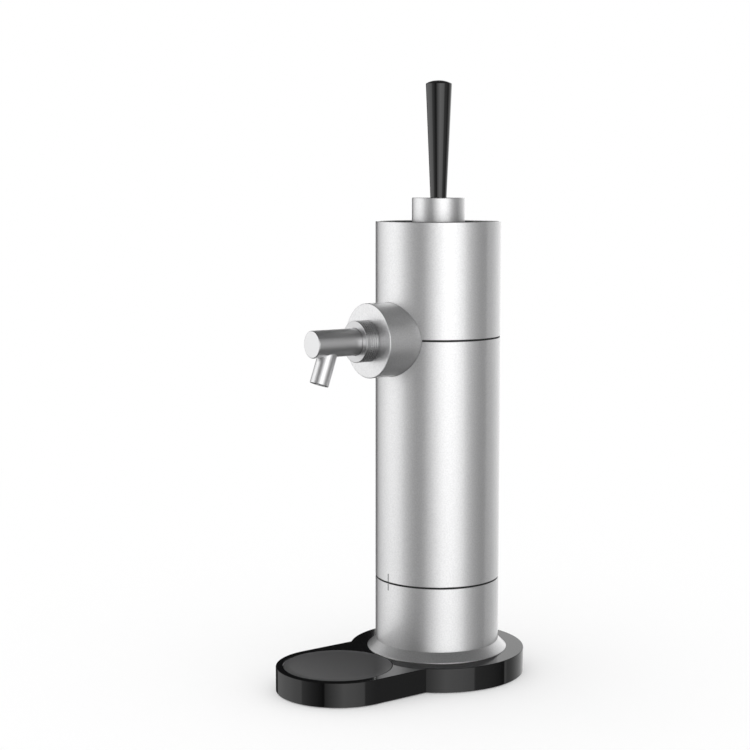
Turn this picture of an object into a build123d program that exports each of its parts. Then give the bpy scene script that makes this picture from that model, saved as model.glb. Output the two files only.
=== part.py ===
from build123d import *

import os
from math import cos, radians, sin, sqrt, tan

# A column drink dispenser that stands on a table. A lobed base carries a drip tray and a
# lower housing with the batteries. The column twists off that housing, the head lifts out
# of the column with its dip tube, and the handle on top works two switches.
# Millimetres, +Z up. The origin is the middle of the footprint, on the table.

# ---- Base
BASE_R = 76.4            # disc of the base, about the column's axis
LOBE_R = 53.5            # round lobe under the tap
BASE_TOP = 21.4
BASE_GAP = 0.8           # height of the shell above the table
BASE_WALL = 2.5
BASE_EDGE = 0.6          # rounding of the upper outer edge
PLATE_T = 2.0            # bottom plate
TRAY_R = 46.0
TRAY_SHIFT = 1.2         # forwards of the lobe's centre
TRAY_GAP = 0.4           # between the tray and the foot ring
TRAY_T = 5.4
TRAY_WALL = 1.6
TRAY_RIM = 4.0           # flat rim around the dish
TRAY_DISH = 2.6          # depth of the dish at its middle
FOOT_R = 7.0
FOOT_T = 1.8
FOOT_IN = 17.04          # from the disc's edge to the middle of its feet
FOOT_ANGLE = 32.62       # degrees behind the side
LOBE_FOOT_X = 34.0
LOBE_FOOT_Y = 24.0
BASE_SCREW_IN = 10.6     # from the disc's edge to its screws
BASE_SCREW_ANGLES = (-8, 188, 62.7, 117.3)
LOBE_SCREW_IN = 13.9     # from the lobe's side to its screws
LOBE_SCREW_Y = 2.0
BASE_SCREW_L = 9.0

# ---- Column
COLUMN_R = 54.0
SHELL_WALL = 2.0
FOOT_RING_FLARE = 7.2    # beyond the column
FOOT_RING_H = 7.6        # the sloping ring at the column's foot
FOOT_RING_EDGE = 0.5
HOUSING_FLOOR_T = 3.0
HOUSING_SCREW_X = 30.0
HOUSING_SCREW_Y = 26.0
HOUSING_SCREW_L = 8.8
LOWER_SEAM_Z = 84.6
UPPER_SEAM_Z = 295.5
HEAD_TOP = 394.4
SEAM_T = 1.2             # gasket in each seam
SEAM_INSET = 0.4
TICK_W = 1.2             # alignment mark across the lower seam
TICK_UP = 7.2
TICK_DOWN = 6.0
TICK_DEPTH = 0.3
LINER_IN = 7.5           # from the column's outside to the vessel bay
LINER_WALL = 1.5
LINER_FLOOR_T = 2.5
LINER_FLOOR_Z = 92.0
FOAM_T = 3.0             # insulation between liner and tube
PAD_IN = 6.5             # from the bay's side to the pad
PAD_T = 3.0
STRIP_W = 4.0            # copper strip that takes current to the head
STRIP_T = 0.6

# ---- Twist lock between housing and column
BAYONET_IN = 7.5         # from the column's outside to the bore of the ring
BAYONET_Z = 78.0
BAYONET_T = 3.0
SKIRT_WALL = 2.0
LUG_T = 3.2
LUG_REACH = 2.6
LUG_W = 20.0
NOTCH_W = 26.0
TWIST = 30.0             # degrees from locked to free
LUGS = 3

# ---- Batteries and boards
CELL_R = 7.1
CELL_L = 49.5
CELL_PITCH = 16.0
CELL_FIT = 0.3           # radial room of a cell in its pocket
NUB_R = 2.75
NUB_H = 1.0
HOLDER_W = 36.0
HOLDER_FLOOR_T = 3.0
CONTACT_T = 0.5
CAP_T = 3.0
PIN_R = 1.2              # spring pins between the cap and the rings under the column
RING_RADII = (12.0, 16.0)
BOARD_T = 1.6
BOARD_W = 46.0
BOARD_H = 44.0
BOARD_IN = 26.0          # from the column's outside to the board

# ---- Tap
TAP_Z = 295.1
BOSS_R = 31.6
BOSS_REACH = 76.2        # front face, from the column's axis
NUT_L = 13.4             # front faces, from the boss
SPOUT_L = 57.0
BOSS_WALL = 2.5
BOSS_FRONT_T = 3.0
BOSS_EDGE = 1.2
BOSS_SCREW_X = 20.0
BOSS_SCREW_UP = 14.0
BOSS_SCREW_L = 20.0
NUT_R = 17.6
NUT_FRONT_T = 2.5
NUT_GROOVES = 6
NUT_GROOVE_W = 0.9
NUT_GROOVE_D = 0.5
NUT_PITCH = 2.1
THREAD_R = 14.5
SHANK_R = 6.0
SHANK_BORE = 3.0
STUB_L = 7.8
SEAL_T = 0.7
SPOUT_R = 11.43
SPOUT_BORE = 4.0
SPOUT_EDGE = 0.8
FLANGE_T = 2.1
NOZZLE_R = 8.0
NOZZLE_BORE = 5.0
NOZZLE_TILT = 19.6       # degrees, its foot forwards
NOZZLE_TIP_BACK = 7.3    # middle of the tip, behind the spout's front
NOZZLE_TIP_Z = 261.5

# ---- Head
PLUG_WALL = 3.0          # chassis ring, which plugs into the column
PLUG_FIT = 0.6
RING_TOP = 332.0
DECK_T = 3.0
SEAL_GROOVE = 0.8
SEAL_H = 1.8
SEAL_FOOT = 0.9          # from the plug's lower edge to its seal
CUP_IN = 32.0            # from the column's outside to the recess for a bottle's neck
CUP_WALL = 2.0
CUP_TOP = 348.0
CUP_FLANGE = 1.2
CUP_FLANGE_T = 2.0
DIP_R = 3.0
DIP_BORE = 2.0
DIP_FOOT_Z = 100.0
ELBOW_W = 10.0
ELBOW_H = 9.0
POST_R = 3.5
POST_IN = 11.0           # from the column's outside to the posts
POST_SCREW_L = 9.0
POST_ANGLES = (30, 150, 210, 330)
UPPER_DECK_Z = 364.0
UPPER_DECK_IN = 6.0      # from the column's outside
HOSE_R = 2.5
HOSE_IN = 23.0           # from the column's outside to the hose
HOSE_TURN_Y = 22.0
HOSE_TURN_DROP = 24.0
CHAMBER_W = 18.0
CHAMBER_L = 17.5
CHAMBER_H = 16.0
DISC_R = 7.5
DISC_H = 6.0
PUMP_W = 20.0
PUMP_H = 20.0
PUMP_IN = 18.5           # from the column's outside to the pump
MOTOR_R = 9.5
MOTOR_H = 27.0
HEAD_BOARD_IN = 19.0     # from the column's outside to the board
HEAD_PIN_R = 0.8
HEAD_PIN_DEPTH = 6.0     # of the pins' holes in the chassis ring
HEAD_BOARD_W = 30.0
HEAD_BOARD_H = 40.0
SWITCH_W = 20.0
SWITCH_D = 6.4
SWITCH_H = 9.0
SWITCH_WALL_D = 32.0     # walls at both sides of the switches
SWITCH_WALL_T = 2.0
SWITCH_DROP = 4.4        # from the upper deck to the switches
TOP_PLATE_T = 2.9
TOP_PLATE_DEPTH = 0.5    # below the shell's rim
LEDGE_W = 2.0
COLLAR_R = 22.75
COLLAR_TOP = 414.6
COLLAR_WALL = 2.0
COLLAR_LID_T = 2.2
COLLAR_EDGE = 0.8

# ---- Lever
PIVOT_Z = 396.0
BARREL_R = 16.0
BARREL_W = 20.0
TILT = 15.0              # degrees either way
PIN_PIVOT_R = 2.0
PIN_FIT = 0.05
CHEEK_T = 3.0
CHEEK_GAP = 0.5
CHEEK_D = 16.0
CHEEK_TOP = 402.0
YOKE_W = 38.0
YOKE_D = 36.0
YOKE_T = 2.0
YOKE_SCREW_X = 16.3
YOKE_SCREW_Y = 12.0
NOSE_R = 2.0
NOSE_Y = 12.0            # also the plungers' distance from the pivot
NOSE_DROP = 17.0
ROCKER_W = 10.0
PLUNGER_CAP_R = 3.2
PLUNGER_CAP_T = 2.0
PLUNGER_R = 1.8
PLUNGER_FOOT_Z = 363.0
SPRING_WIRE = 0.8
HANDLE_R_LOW = 7.0
HANDLE_R_TOP = 11.2
HANDLE_TOP = 514.1
HANDLE_DOME = 2.8
HANDLE_EDGE = 0.8
STEM_R = 4.0
STEM_L = 69.0
STEM_IN = 9.0            # of the stem's foot in the barrel

# ---- Fasteners and clearances
SCREW_R = 1.4
SCREW_HEAD_R = 2.8
SCREW_HEAD_T = 1.1
SCREW_POST_R = 4.0
CLEAR = 0.3              # between bodies
TOUCH = 0.2              # between pieces of one body
SCREW_FIT = 0.05

# ---- Places that follow from the sizes above
foot_ring_r = COLUMN_R + FOOT_RING_FLARE
LOBE_SPACING = foot_ring_r + TRAY_GAP + TRAY_R - TRAY_SHIFT
COLUMN_Y = (LOBE_SPACING + LOBE_R - BASE_R) / 2
LOBE_Y = COLUMN_Y - LOBE_SPACING
TRAY_Y = LOBE_Y - TRAY_SHIFT
shell_in = COLUMN_R - SHELL_WALL
plate_top = BASE_GAP + PLATE_T
well_floor = BASE_TOP - TRAY_T - CLEAR
well_under = well_floor - BASE_WALL
ceiling = BASE_TOP - BASE_WALL
housing_floor = BASE_TOP + HOUSING_FLOOR_T
housing_top = LOWER_SEAM_Z - SEAM_T / 2
column_foot = LOWER_SEAM_Z + SEAM_T / 2 + TOUCH
column_top = UPPER_SEAM_Z - SEAM_T / 2
head_foot = UPPER_SEAM_Z + SEAM_T / 2 + TOUCH
plug_r = shell_in - PLUG_FIT
plug_in = plug_r - PLUG_WALL
deck_top = TAP_Z - SHANK_R - 0.1
deck_under = deck_top - DECK_T
liner_top = deck_under - 1.0
liner_r = COLUMN_R - LINER_IN
foam_r = liner_r + LINER_WALL + TOUCH
foam_top = liner_top - 1.0
boss_back_r = plug_r + CLEAR
boss_screw_seat = sqrt(plug_in**2 - (BOSS_SCREW_X + SCREW_HEAD_R) ** 2) - 0.1
cell_foot = housing_floor + HOLDER_FLOOR_T + CONTACT_T + TOUCH
holder_top = cell_foot + CELL_L + NUB_H + CONTACT_T + TOUCH
cap_top = holder_top + CAP_T
strip_x = plug_r - PLUG_WALL / 2 - CLEAR
deck_level = UPPER_DECK_Z + DECK_T
nose_foot = PIVOT_Z - NOSE_DROP - NOSE_R
cap_level = nose_foot - TOUCH
top_plate_z = HEAD_TOP - TOP_PLATE_DEPTH - TOP_PLATE_T
collar_in = COLLAR_R - COLLAR_WALL
collar_foot = HEAD_TOP - TOP_PLATE_DEPTH
barrel_top = PIVOT_Z + BARREL_R
stub_front = BOSS_REACH + STUB_L
flange_back = stub_front + SEAL_T
flange_front = flange_back + FLANGE_T
bayonet_r = COLUMN_R - BAYONET_IN
skirt_foot = BAYONET_Z - CLEAR - LUG_T - 1.0
skirt_r = bayonet_r - CLEAR
nut_reach = BOSS_REACH + NUT_L
spout_reach = BOSS_REACH + SPOUT_L
nozzle_tip_reach = spout_reach - NOZZLE_TIP_BACK
cup_r = COLUMN_R - CUP_IN
pump_y = COLUMN_R - PUMP_IN
board_y = COLUMN_R - BOARD_IN
head_board_x = COLUMN_R - HEAD_BOARD_IN
hose_x = COLUMN_R - HOSE_IN

COLUMN_AXIS = Axis((0, COLUMN_Y, 0), (0, 0, 1))
TAP_AXIS = Axis((0, COLUMN_Y, TAP_Z), (0, -1, 0))


def around(radius, angles):
    """Points on a circle, at angles in degrees from +X."""
    return [(radius * cos(radians(a)), radius * sin(radians(a))) for a in angles]


disc_screws = around(BASE_R - BASE_SCREW_IN, BASE_SCREW_ANGLES)
lobe_screw_x = LOBE_R - LOBE_SCREW_IN
disc_feet = around(BASE_R - FOOT_IN, (FOOT_ANGLE, 180 - FOOT_ANGLE))
BASE_SCREWS = [(x, COLUMN_Y + y) for x, y in disc_screws]
BASE_SCREWS += [(lobe_screw_x * i, LOBE_Y + LOBE_SCREW_Y) for i in (-1, 1)]
FEET = [(x, COLUMN_Y + y) for x, y in disc_feet]
FEET += [(LOBE_FOOT_X * i, LOBE_Y - LOBE_FOOT_Y) for i in (-1, 1)]
HOUSING_SCREWS = [(HOUSING_SCREW_X * i, HOUSING_SCREW_Y * j) for i in (-1, 1) for j in (-1, 1)]
CELLS = [(CELL_PITCH / 2 * i, CELL_PITCH / 2 * j) for i in (-1, 1) for j in (-1, 1)]
POSTS = around(COLUMN_R - POST_IN, POST_ANGLES)
YOKE_SCREWS = [(YOKE_SCREW_X * i, YOKE_SCREW_Y * j) for i in (-1, 1) for j in (-1, 1)]
FINISHED = []


# ---- Planes and forms that several pieces share
def level(z):
    """Horizontal plane at height z, centred on the column's axis."""
    return Plane((0, COLUMN_Y, z))


def tap_plane(reach):
    """Upright plane across the tap's axis, facing the front, at a reach from the column."""
    return Plane(origin=(0, COLUMN_Y - reach, TAP_Z), x_dir=(1, 0, 0), z_dir=(0, -1, 0))


def side_plane(x):
    """Upright plane across the lever's pivot, facing +X."""
    return Plane(origin=(x, COLUMN_Y, PIVOT_Z), x_dir=(0, 1, 0), z_dir=(1, 0, 0))


def ring(plane, outer, inner, height, mode=Mode.ADD):
    """Ring between two radii."""
    with BuildSketch(plane) as outline:
        Circle(outer)
        if inner:
            Circle(inner, mode=Mode.SUBTRACT)
    extrude(outline.sketch, amount=height, mode=mode)


def discs(plane, points, radius, height, mode=Mode.ADD):
    """One disc or round hole at each point."""
    with BuildSketch(plane) as outline:
        with Locations(*points):
            Circle(radius)
    extrude(outline.sketch, amount=height, mode=mode)


def block(plane, x, y, width, depth, height, mode=Mode.ADD):
    """Box that stands on a plane, centred at (x, y) in it."""
    with BuildSketch(plane) as outline:
        with Locations((x, y)):
            Rectangle(width, depth)
    extrude(outline.sketch, amount=height, mode=mode)


def turned(points):
    """Solid turned about the column's axis from a closed outline of (radius, height)."""
    with BuildSketch(Plane(origin=(0, COLUMN_Y, 0), x_dir=(1, 0, 0), z_dir=(0, -1, 0))) as section:
        with BuildLine():
            Polyline(*points, close=True)
        make_face()
    revolve(section.sketch, axis=COLUMN_AXIS)


def turned_about_tap(points):
    """Solid turned about the tap's axis from a closed outline of (radius, reach)."""
    with BuildSketch(Plane(origin=(0, COLUMN_Y, TAP_Z), x_dir=(1, 0, 0), z_dir=(0, 0, -1))) as section:
        with BuildLine():
            Polyline(*points, close=True)
        make_face()
    revolve(section.sketch, axis=TAP_AXIS)


def screws(plane, points, length):
    """Pan-head screws: heads behind the plane, shanks along its normal."""
    discs(plane, points, SCREW_HEAD_R, -SCREW_HEAD_T)
    discs(plane, points, SCREW_R, length)


def base_outline(inset):
    """Outline of the base, drawn in by inset: disc, lobe and the straight neck between."""
    with Locations((0, COLUMN_Y)):
        Circle(BASE_R - inset)
    with Locations((0, LOBE_Y)):
        Circle(LOBE_R - inset)
    with Locations((0, (COLUMN_Y + LOBE_Y) / 2)):
        Rectangle(2 * (LOBE_R - inset), LOBE_SPACING)


def cut_tap_notch(radius, way):
    """Round notch for the tap boss, open upwards (way 1) or downwards (way -1)."""
    with BuildSketch(tap_plane(0)) as notch:
        Circle(radius)
        with Locations((0, way * radius)):
            Rectangle(2 * radius, 2 * radius)
    extrude(notch.sketch, amount=COLUMN_R + 1, mode=Mode.SUBTRACT)


def cut_tick(foot, height):
    """Engraved alignment mark on the front of the column."""
    with BuildSketch(level(foot)) as mark:
        with Locations((0, -COLUMN_R)):
            Rectangle(TICK_W, 2 * TICK_DEPTH)
    extrude(mark.sketch, amount=height, mode=Mode.SUBTRACT)


def sagitta_at_half(radius, depth):
    """Depth of a spherical cap half way out, from the cap's radius and full depth."""
    sphere = (radius**2 + depth**2) / (2 * depth)
    return depth - sphere + sqrt(sphere**2 - radius**2 / 4)


def finish(builder, label):
    """Name a finished piece."""
    builder.part.label = label
    FINISHED.append(builder)


# ==== Base ====
with BuildPart() as base_shell:
    with BuildSketch(Plane.XY.offset(BASE_GAP)):
        base_outline(0)
    extrude(amount=BASE_TOP - BASE_GAP)
    fillet(base_shell.faces().sort_by(Axis.Z)[-1].outer_wire().edges(), BASE_EDGE)
    with BuildSketch(Plane.XY.offset(BASE_GAP)):
        base_outline(BASE_WALL)
    extrude(amount=well_under - BASE_GAP, mode=Mode.SUBTRACT)
    with BuildSketch(Plane.XY.offset(well_under)):
        base_outline(BASE_WALL)
        with Locations((0, LOBE_Y)):
            Circle(LOBE_R - BASE_WALL / 2, mode=Mode.SUBTRACT)
    extrude(amount=ceiling - well_under, mode=Mode.SUBTRACT)
    discs(Plane.XY.offset(plate_top), BASE_SCREWS[:4], SCREW_POST_R, ceiling - plate_top)
    discs(Plane.XY.offset(plate_top), BASE_SCREWS[4:], SCREW_POST_R, well_under - plate_top)
    with BuildSketch(Plane((0, TRAY_Y, well_floor))):
        Circle(TRAY_R + CLEAR)
    extrude(amount=TRAY_T + 2, mode=Mode.SUBTRACT)
    screw_room = BASE_SCREW_L + TOUCH
    discs(Plane.XY.offset(plate_top), BASE_SCREWS, SCREW_R + SCREW_FIT, screw_room, Mode.SUBTRACT)
    discs(level(ceiling), HOUSING_SCREWS, SCREW_R + TOUCH, BASE_WALL, Mode.SUBTRACT)
finish(base_shell, "base_shell")

with BuildPart() as base_bottom_plate:
    with BuildSketch(Plane.XY.offset(BASE_GAP)):
        base_outline(BASE_WALL + TOUCH)
    extrude(amount=PLATE_T)
    discs(Plane.XY.offset(BASE_GAP), FEET, FOOT_R + TOUCH, FOOT_T - BASE_GAP, Mode.SUBTRACT)
    discs(Plane.XY.offset(BASE_GAP), BASE_SCREWS, SCREW_R + TOUCH, PLATE_T, Mode.SUBTRACT)
    discs(
        Plane.XY.offset(BASE_GAP), BASE_SCREWS, SCREW_HEAD_R + TOUCH, SCREW_HEAD_T, Mode.SUBTRACT
    )
finish(base_bottom_plate, "base_bottom_plate")

with BuildPart() as rubber_feet:
    discs(Plane.XY, FEET, FOOT_R, FOOT_T)
finish(rubber_feet, "rubber_feet")

with BuildPart() as base_screws:
    screws(Plane.XY.offset(BASE_GAP + SCREW_HEAD_T), BASE_SCREWS, BASE_SCREW_L)
finish(base_screws, "base_screws")

with BuildPart() as drip_tray:
    with BuildSketch(Plane(origin=(0, TRAY_Y, 0), x_dir=(1, 0, 0), z_dir=(0, -1, 0))):
        with BuildLine():
            dish_r = TRAY_R - TRAY_RIM
            tray_top = BASE_TOP
            tray_foot = BASE_TOP - TRAY_T
            Polyline(
                (0, tray_top - TRAY_DISH - TRAY_WALL),
                (dish_r, tray_top - TRAY_WALL),
                (TRAY_R - TRAY_WALL, tray_top - TRAY_WALL),
                (TRAY_R - TRAY_WALL, tray_foot),
                (TRAY_R, tray_foot),
                (TRAY_R, tray_top),
                (dish_r, tray_top),
            )
            ThreePointArc(
                (dish_r, tray_top),
                (dish_r / 2, tray_top - sagitta_at_half(dish_r, TRAY_DISH)),
                (0, tray_top - TRAY_DISH),
            )
            Line((0, tray_top - TRAY_DISH), (0, tray_top - TRAY_DISH - TRAY_WALL))
        make_face()
    revolve(axis=Axis((0, TRAY_Y, 0), (0, 0, 1)))
finish(drip_tray, "drip_tray")

# ==== Lower housing ====
with BuildPart() as foot_ring:
    ring_in = shell_in + 0.1
    turned(
        [
            (ring_in, BASE_TOP),
            (foot_ring_r, BASE_TOP),
            (foot_ring_r, BASE_TOP + FOOT_RING_EDGE),
            (COLUMN_R, BASE_TOP + FOOT_RING_H),
            (ring_in, BASE_TOP + FOOT_RING_H),
        ]
    )
finish(foot_ring, "foot_ring")

with BuildPart() as lower_housing:
    step_z = BASE_TOP + FOOT_RING_H
    ledge_r = bayonet_r + LUG_REACH + 1.2
    turned(
        [
            (0, BASE_TOP),
            (shell_in, BASE_TOP),
            (shell_in, step_z),
            (COLUMN_R, step_z),
            (COLUMN_R, housing_top),
            (shell_in, housing_top),
            (shell_in, BAYONET_Z),
            (ledge_r, BAYONET_Z),
            (ledge_r, BAYONET_Z - SHELL_WALL),
            (shell_in, BAYONET_Z - 2 * SHELL_WALL),
            (shell_in, step_z + SHELL_WALL),
            (shell_in - SHELL_WALL, step_z + SHELL_WALL),
            (shell_in - SHELL_WALL, housing_floor),
            (0, housing_floor),
        ]
    )
    discs(level(housing_floor), HOUSING_SCREWS, SCREW_POST_R, HOUSING_SCREW_L - TOUCH * 4)
    screw_room = HOUSING_SCREW_L + TOUCH
    discs(level(BASE_TOP), HOUSING_SCREWS, SCREW_R + SCREW_FIT, screw_room, Mode.SUBTRACT)
    cut_tick(LOWER_SEAM_Z - TICK_DOWN, TICK_DOWN)
finish(lower_housing, "lower_housing")

with BuildPart() as housing_screws:
    screws(level(ceiling), HOUSING_SCREWS, BASE_WALL + HOUSING_SCREW_L)
finish(housing_screws, "housing_screws")

with BuildPart() as lower_gasket:
    ring(level(housing_top), COLUMN_R - SEAM_INSET, shell_in, SEAM_T)
finish(lower_gasket, "lower_gasket")

with BuildPart() as bayonet_ring:
    ring(level(BAYONET_Z), shell_in - TOUCH, bayonet_r, BAYONET_T)
    with BuildSketch(level(BAYONET_Z)):
        with PolarLocations(bayonet_r, LUGS, start_angle=90 + TWIST):
            Rectangle(2 * (LUG_REACH + CLEAR), NOTCH_W)
    extrude(amount=BAYONET_T, mode=Mode.SUBTRACT)
finish(bayonet_ring, "bayonet_ring")

with BuildPart() as battery_holder:
    block(level(housing_floor), 0, 0, HOLDER_W, HOLDER_W, holder_top - housing_floor)
    fillet(battery_holder.edges().filter_by(Axis.Z), 3.0)
    pocket_foot = housing_floor + HOLDER_FLOOR_T
    discs(level(pocket_foot), CELLS, CELL_R + CELL_FIT, holder_top - pocket_foot, Mode.SUBTRACT)
finish(battery_holder, "battery_holder")

with BuildPart() as battery_cells:
    discs(level(cell_foot), CELLS, CELL_R, CELL_L)
    discs(level(cell_foot + CELL_L), CELLS, NUB_R, NUB_H)
finish(battery_cells, "battery_cells")

with BuildPart() as battery_contacts:
    discs(level(housing_floor + HOLDER_FLOOR_T), CELLS, CELL_R - 1, CONTACT_T)
    discs(level(holder_top - CONTACT_T), CELLS, CELL_R - 1, CONTACT_T)
finish(battery_contacts, "battery_contacts")

with BuildPart() as battery_cap:
    block(level(holder_top), 0, 0, HOLDER_W, HOLDER_W, CAP_T)
    fillet(battery_cap.edges().filter_by(Axis.Z), 3.0)
finish(battery_cap, "battery_cap")

with BuildPart() as lower_contact_pins:
    pin_points = [(RING_RADII[0], 0), (-RING_RADII[1], 0)]
    discs(level(cap_top), pin_points, PIN_R, LINER_FLOOR_Z - CONTACT_T - CLEAR - cap_top)
finish(lower_contact_pins, "lower_contact_pins")

with BuildPart() as control_board:
    block(level(housing_floor), 0, board_y, BOARD_W, BOARD_T, BOARD_H)
    board_face = board_y - BOARD_T / 2
    for x, z, width, height in ((-12, 12, 10, 10), (9, 20, 14, 8), (-6, 32, 7, 5)):
        block(level(housing_floor + z), x, board_face - 1, width, 2, height)
finish(control_board, "control_board")

# ==== Column ====
with BuildPart() as column_end_ring:
    flange_foot = column_foot + 0.6
    ring(level(flange_foot), shell_in - TOUCH, skirt_r - SKIRT_WALL, LINER_FLOOR_Z - flange_foot)
    ring(level(skirt_foot), skirt_r, skirt_r - SKIRT_WALL, flange_foot - skirt_foot)
    with BuildSketch(level(skirt_foot + 1.0)):
        with PolarLocations(skirt_r - SKIRT_WALL / 2, LUGS, start_angle=90):
            Rectangle(SKIRT_WALL + 2 * LUG_REACH, LUG_W)
        Circle(skirt_r - SKIRT_WALL, mode=Mode.SUBTRACT)
    extrude(amount=LUG_T)
finish(column_end_ring, "column_end_ring")

with BuildPart() as column_tube:
    ring(level(column_foot), COLUMN_R, shell_in, column_top - column_foot)
    cut_tap_notch(BOSS_R + CLEAR, 1)
    cut_tick(column_foot, TICK_UP)
finish(column_tube, "column_tube")

with BuildPart() as inner_liner:
    liner_out = liner_r + LINER_WALL
    ring(level(LINER_FLOOR_Z), liner_out, 0, LINER_FLOOR_T)
    ring(level(LINER_FLOOR_Z), liner_out, liner_r, liner_top - LINER_FLOOR_Z)
finish(inner_liner, "inner_liner")

with BuildPart() as insulation_sleeve:
    ring(level(LINER_FLOOR_Z + TOUCH), foam_r + FOAM_T, foam_r, foam_top - LINER_FLOOR_Z)
    for way in (-1, 1):
        slot_x = way * (strip_x + 2)
        block(level(LINER_FLOOR_Z), slot_x, 0, 5, STRIP_W + 2, liner_top, Mode.SUBTRACT)
finish(insulation_sleeve, "insulation_sleeve")

with BuildPart() as supply_strips:
    for way in (-1, 1):
        block(
            level(LINER_FLOOR_Z), way * strip_x, 0, STRIP_T, STRIP_W, foam_top - LINER_FLOOR_Z
        )
finish(supply_strips, "supply_strips")

with BuildPart() as contact_rings:
    for radius in RING_RADII:
        ring(level(LINER_FLOOR_Z - CONTACT_T), radius + PIN_R, radius - PIN_R, CONTACT_T)
finish(contact_rings, "contact_rings")

with BuildPart() as vessel_pad:
    ring(level(LINER_FLOOR_Z + LINER_FLOOR_T), liner_r - PAD_IN, 0, PAD_T)
    fillet(vessel_pad.edges().sort_by(Axis.Z)[-1], 1.0)
finish(vessel_pad, "vessel_pad")

with BuildPart() as upper_gasket:
    ring(level(column_top), COLUMN_R - SEAM_INSET, shell_in, SEAM_T)
    cut_tap_notch(BOSS_R + CLEAR, 1)
finish(upper_gasket, "upper_gasket")

# ==== Head ====
with BuildPart() as head_shell:
    ring(level(head_foot), COLUMN_R, shell_in, HEAD_TOP - head_foot)
    ring(level(top_plate_z - LEDGE_W), shell_in + 0.5, shell_in - LEDGE_W, LEDGE_W)
    cut_tap_notch(BOSS_R + TOUCH, -1)
finish(head_shell, "head_shell")

with BuildPart() as chassis_ring:
    seal_z = deck_under + SEAL_FOOT
    ring(level(deck_under), plug_r, plug_in, RING_TOP - deck_under)
    ring(level(seal_z), plug_r + 1, plug_r - SEAL_GROOVE, SEAL_H, Mode.SUBTRACT)
    with BuildSketch(tap_plane(0)):
        Circle(SHANK_R + TOUCH)
        with Locations((BOSS_SCREW_X, BOSS_SCREW_UP), (-BOSS_SCREW_X, BOSS_SCREW_UP)):
            Circle(SCREW_R + TOUCH)
    extrude(amount=COLUMN_R, mode=Mode.SUBTRACT)
    pin_spots = [(strip_x, 0), (-strip_x, 0)]
    discs(level(deck_under), pin_spots, HEAD_PIN_R + SCREW_FIT, HEAD_PIN_DEPTH, Mode.SUBTRACT)
finish(chassis_ring, "chassis_ring")

with BuildPart() as upper_contact_pins:
    pin_foot = foam_top + CLEAR
    discs(level(pin_foot), pin_spots, HEAD_PIN_R, deck_under + HEAD_PIN_DEPTH - TOUCH - pin_foot)
finish(upper_contact_pins, "upper_contact_pins")

with BuildPart() as plug_seal:
    ring(level(seal_z), shell_in - CLEAR, plug_r - SEAL_GROOVE, SEAL_H)
finish(plug_seal, "plug_seal")

with BuildPart() as chassis_deck:
    deck_r = plug_in - 0.1
    ring(level(deck_under), deck_r, cup_r, DECK_T)
    discs(level(deck_top), POSTS, POST_R, UPPER_DECK_Z - deck_top)
    discs(level(UPPER_DECK_Z), POSTS, SCREW_R + SCREW_FIT, -POST_SCREW_L - 1, Mode.SUBTRACT)
    discs(level(deck_under), [(0, pump_y)], SCREW_R + TOUCH, DECK_T, Mode.SUBTRACT)
finish(chassis_deck, "chassis_deck")

with BuildPart() as neck_cup:
    cup_out = cup_r + CUP_WALL
    ring(level(deck_top), cup_out, cup_r, CUP_TOP - deck_top)
    ring(level(deck_top), cup_out + CUP_FLANGE, cup_r, CUP_FLANGE_T)
    ring(level(CUP_TOP - CUP_WALL), cup_out, DIP_R + 0.1, CUP_WALL)
finish(neck_cup, "neck_cup")

with BuildPart() as dip_tube:
    elbow_bore = 4.0
    ring(level(DIP_FOOT_Z), DIP_R, DIP_BORE, CUP_TOP + elbow_bore - DIP_FOOT_Z)
finish(dip_tube, "dip_tube")

with BuildPart() as tube_elbow:
    block(level(CUP_TOP), 0, 0, ELBOW_W, ELBOW_W, ELBOW_H)
    ring(level(CUP_TOP), DIP_R + 0.1, 0, elbow_bore + 0.1, Mode.SUBTRACT)
finish(tube_elbow, "tube_elbow")

with BuildPart() as foam_chamber:
    chamber_front = plug_in - 1.9
    chamber_y = -(chamber_front - CHAMBER_L / 2)
    block(level(deck_top), 0, chamber_y, CHAMBER_W, CHAMBER_L, CHAMBER_H)
finish(foam_chamber, "foam_chamber")

with BuildPart() as foam_transducer:
    discs(level(deck_top + CHAMBER_H), [(0, chamber_y)], DISC_R, DISC_H)
finish(foam_transducer, "foam_transducer")

with BuildPart() as beer_hose:
    hose_top = CUP_TOP + 5.0
    hose_low = deck_top + CHAMBER_H - 6.0
    hose_points = [
        (ELBOW_W / 2, COLUMN_Y, hose_top),
        (hose_x, COLUMN_Y, hose_top),
        (hose_x, COLUMN_Y - HOSE_TURN_Y, hose_top - HOSE_TURN_DROP),
        (hose_x - 5, COLUMN_Y + chamber_y, hose_low),
        (CHAMBER_W / 2, COLUMN_Y + chamber_y, hose_low),
    ]
    with BuildLine() as hose_path:
        FilletPolyline(*hose_points, radius=7.5)
    with BuildSketch(Plane(hose_points[0], z_dir=(1, 0, 0))):
        Circle(HOSE_R)
    sweep()
finish(beer_hose, "beer_hose")

with BuildPart() as pump_head:
    block(level(deck_top), 0, pump_y, PUMP_W, PUMP_W, PUMP_H)
    discs(level(deck_under), [(0, pump_y)], SCREW_R, DECK_T)
finish(pump_head, "pump_head")

with BuildPart() as pump_motor:
    discs(level(deck_top + PUMP_H), [(0, pump_y)], MOTOR_R, MOTOR_H)
    discs(level(deck_top + PUMP_H + MOTOR_H), [(0, pump_y)], 3.0, 2.0)
finish(pump_motor, "pump_motor")

with BuildPart() as head_board:
    block(level(deck_top), -head_board_x, 0, BOARD_T, HEAD_BOARD_W, HEAD_BOARD_H)
    for y, z in ((-6, 8), (7, 20), (-5, 30)):
        block(level(deck_top + z), -head_board_x + BOARD_T / 2 + 1, y, 2, 7, 6)
finish(head_board, "head_board")

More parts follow.
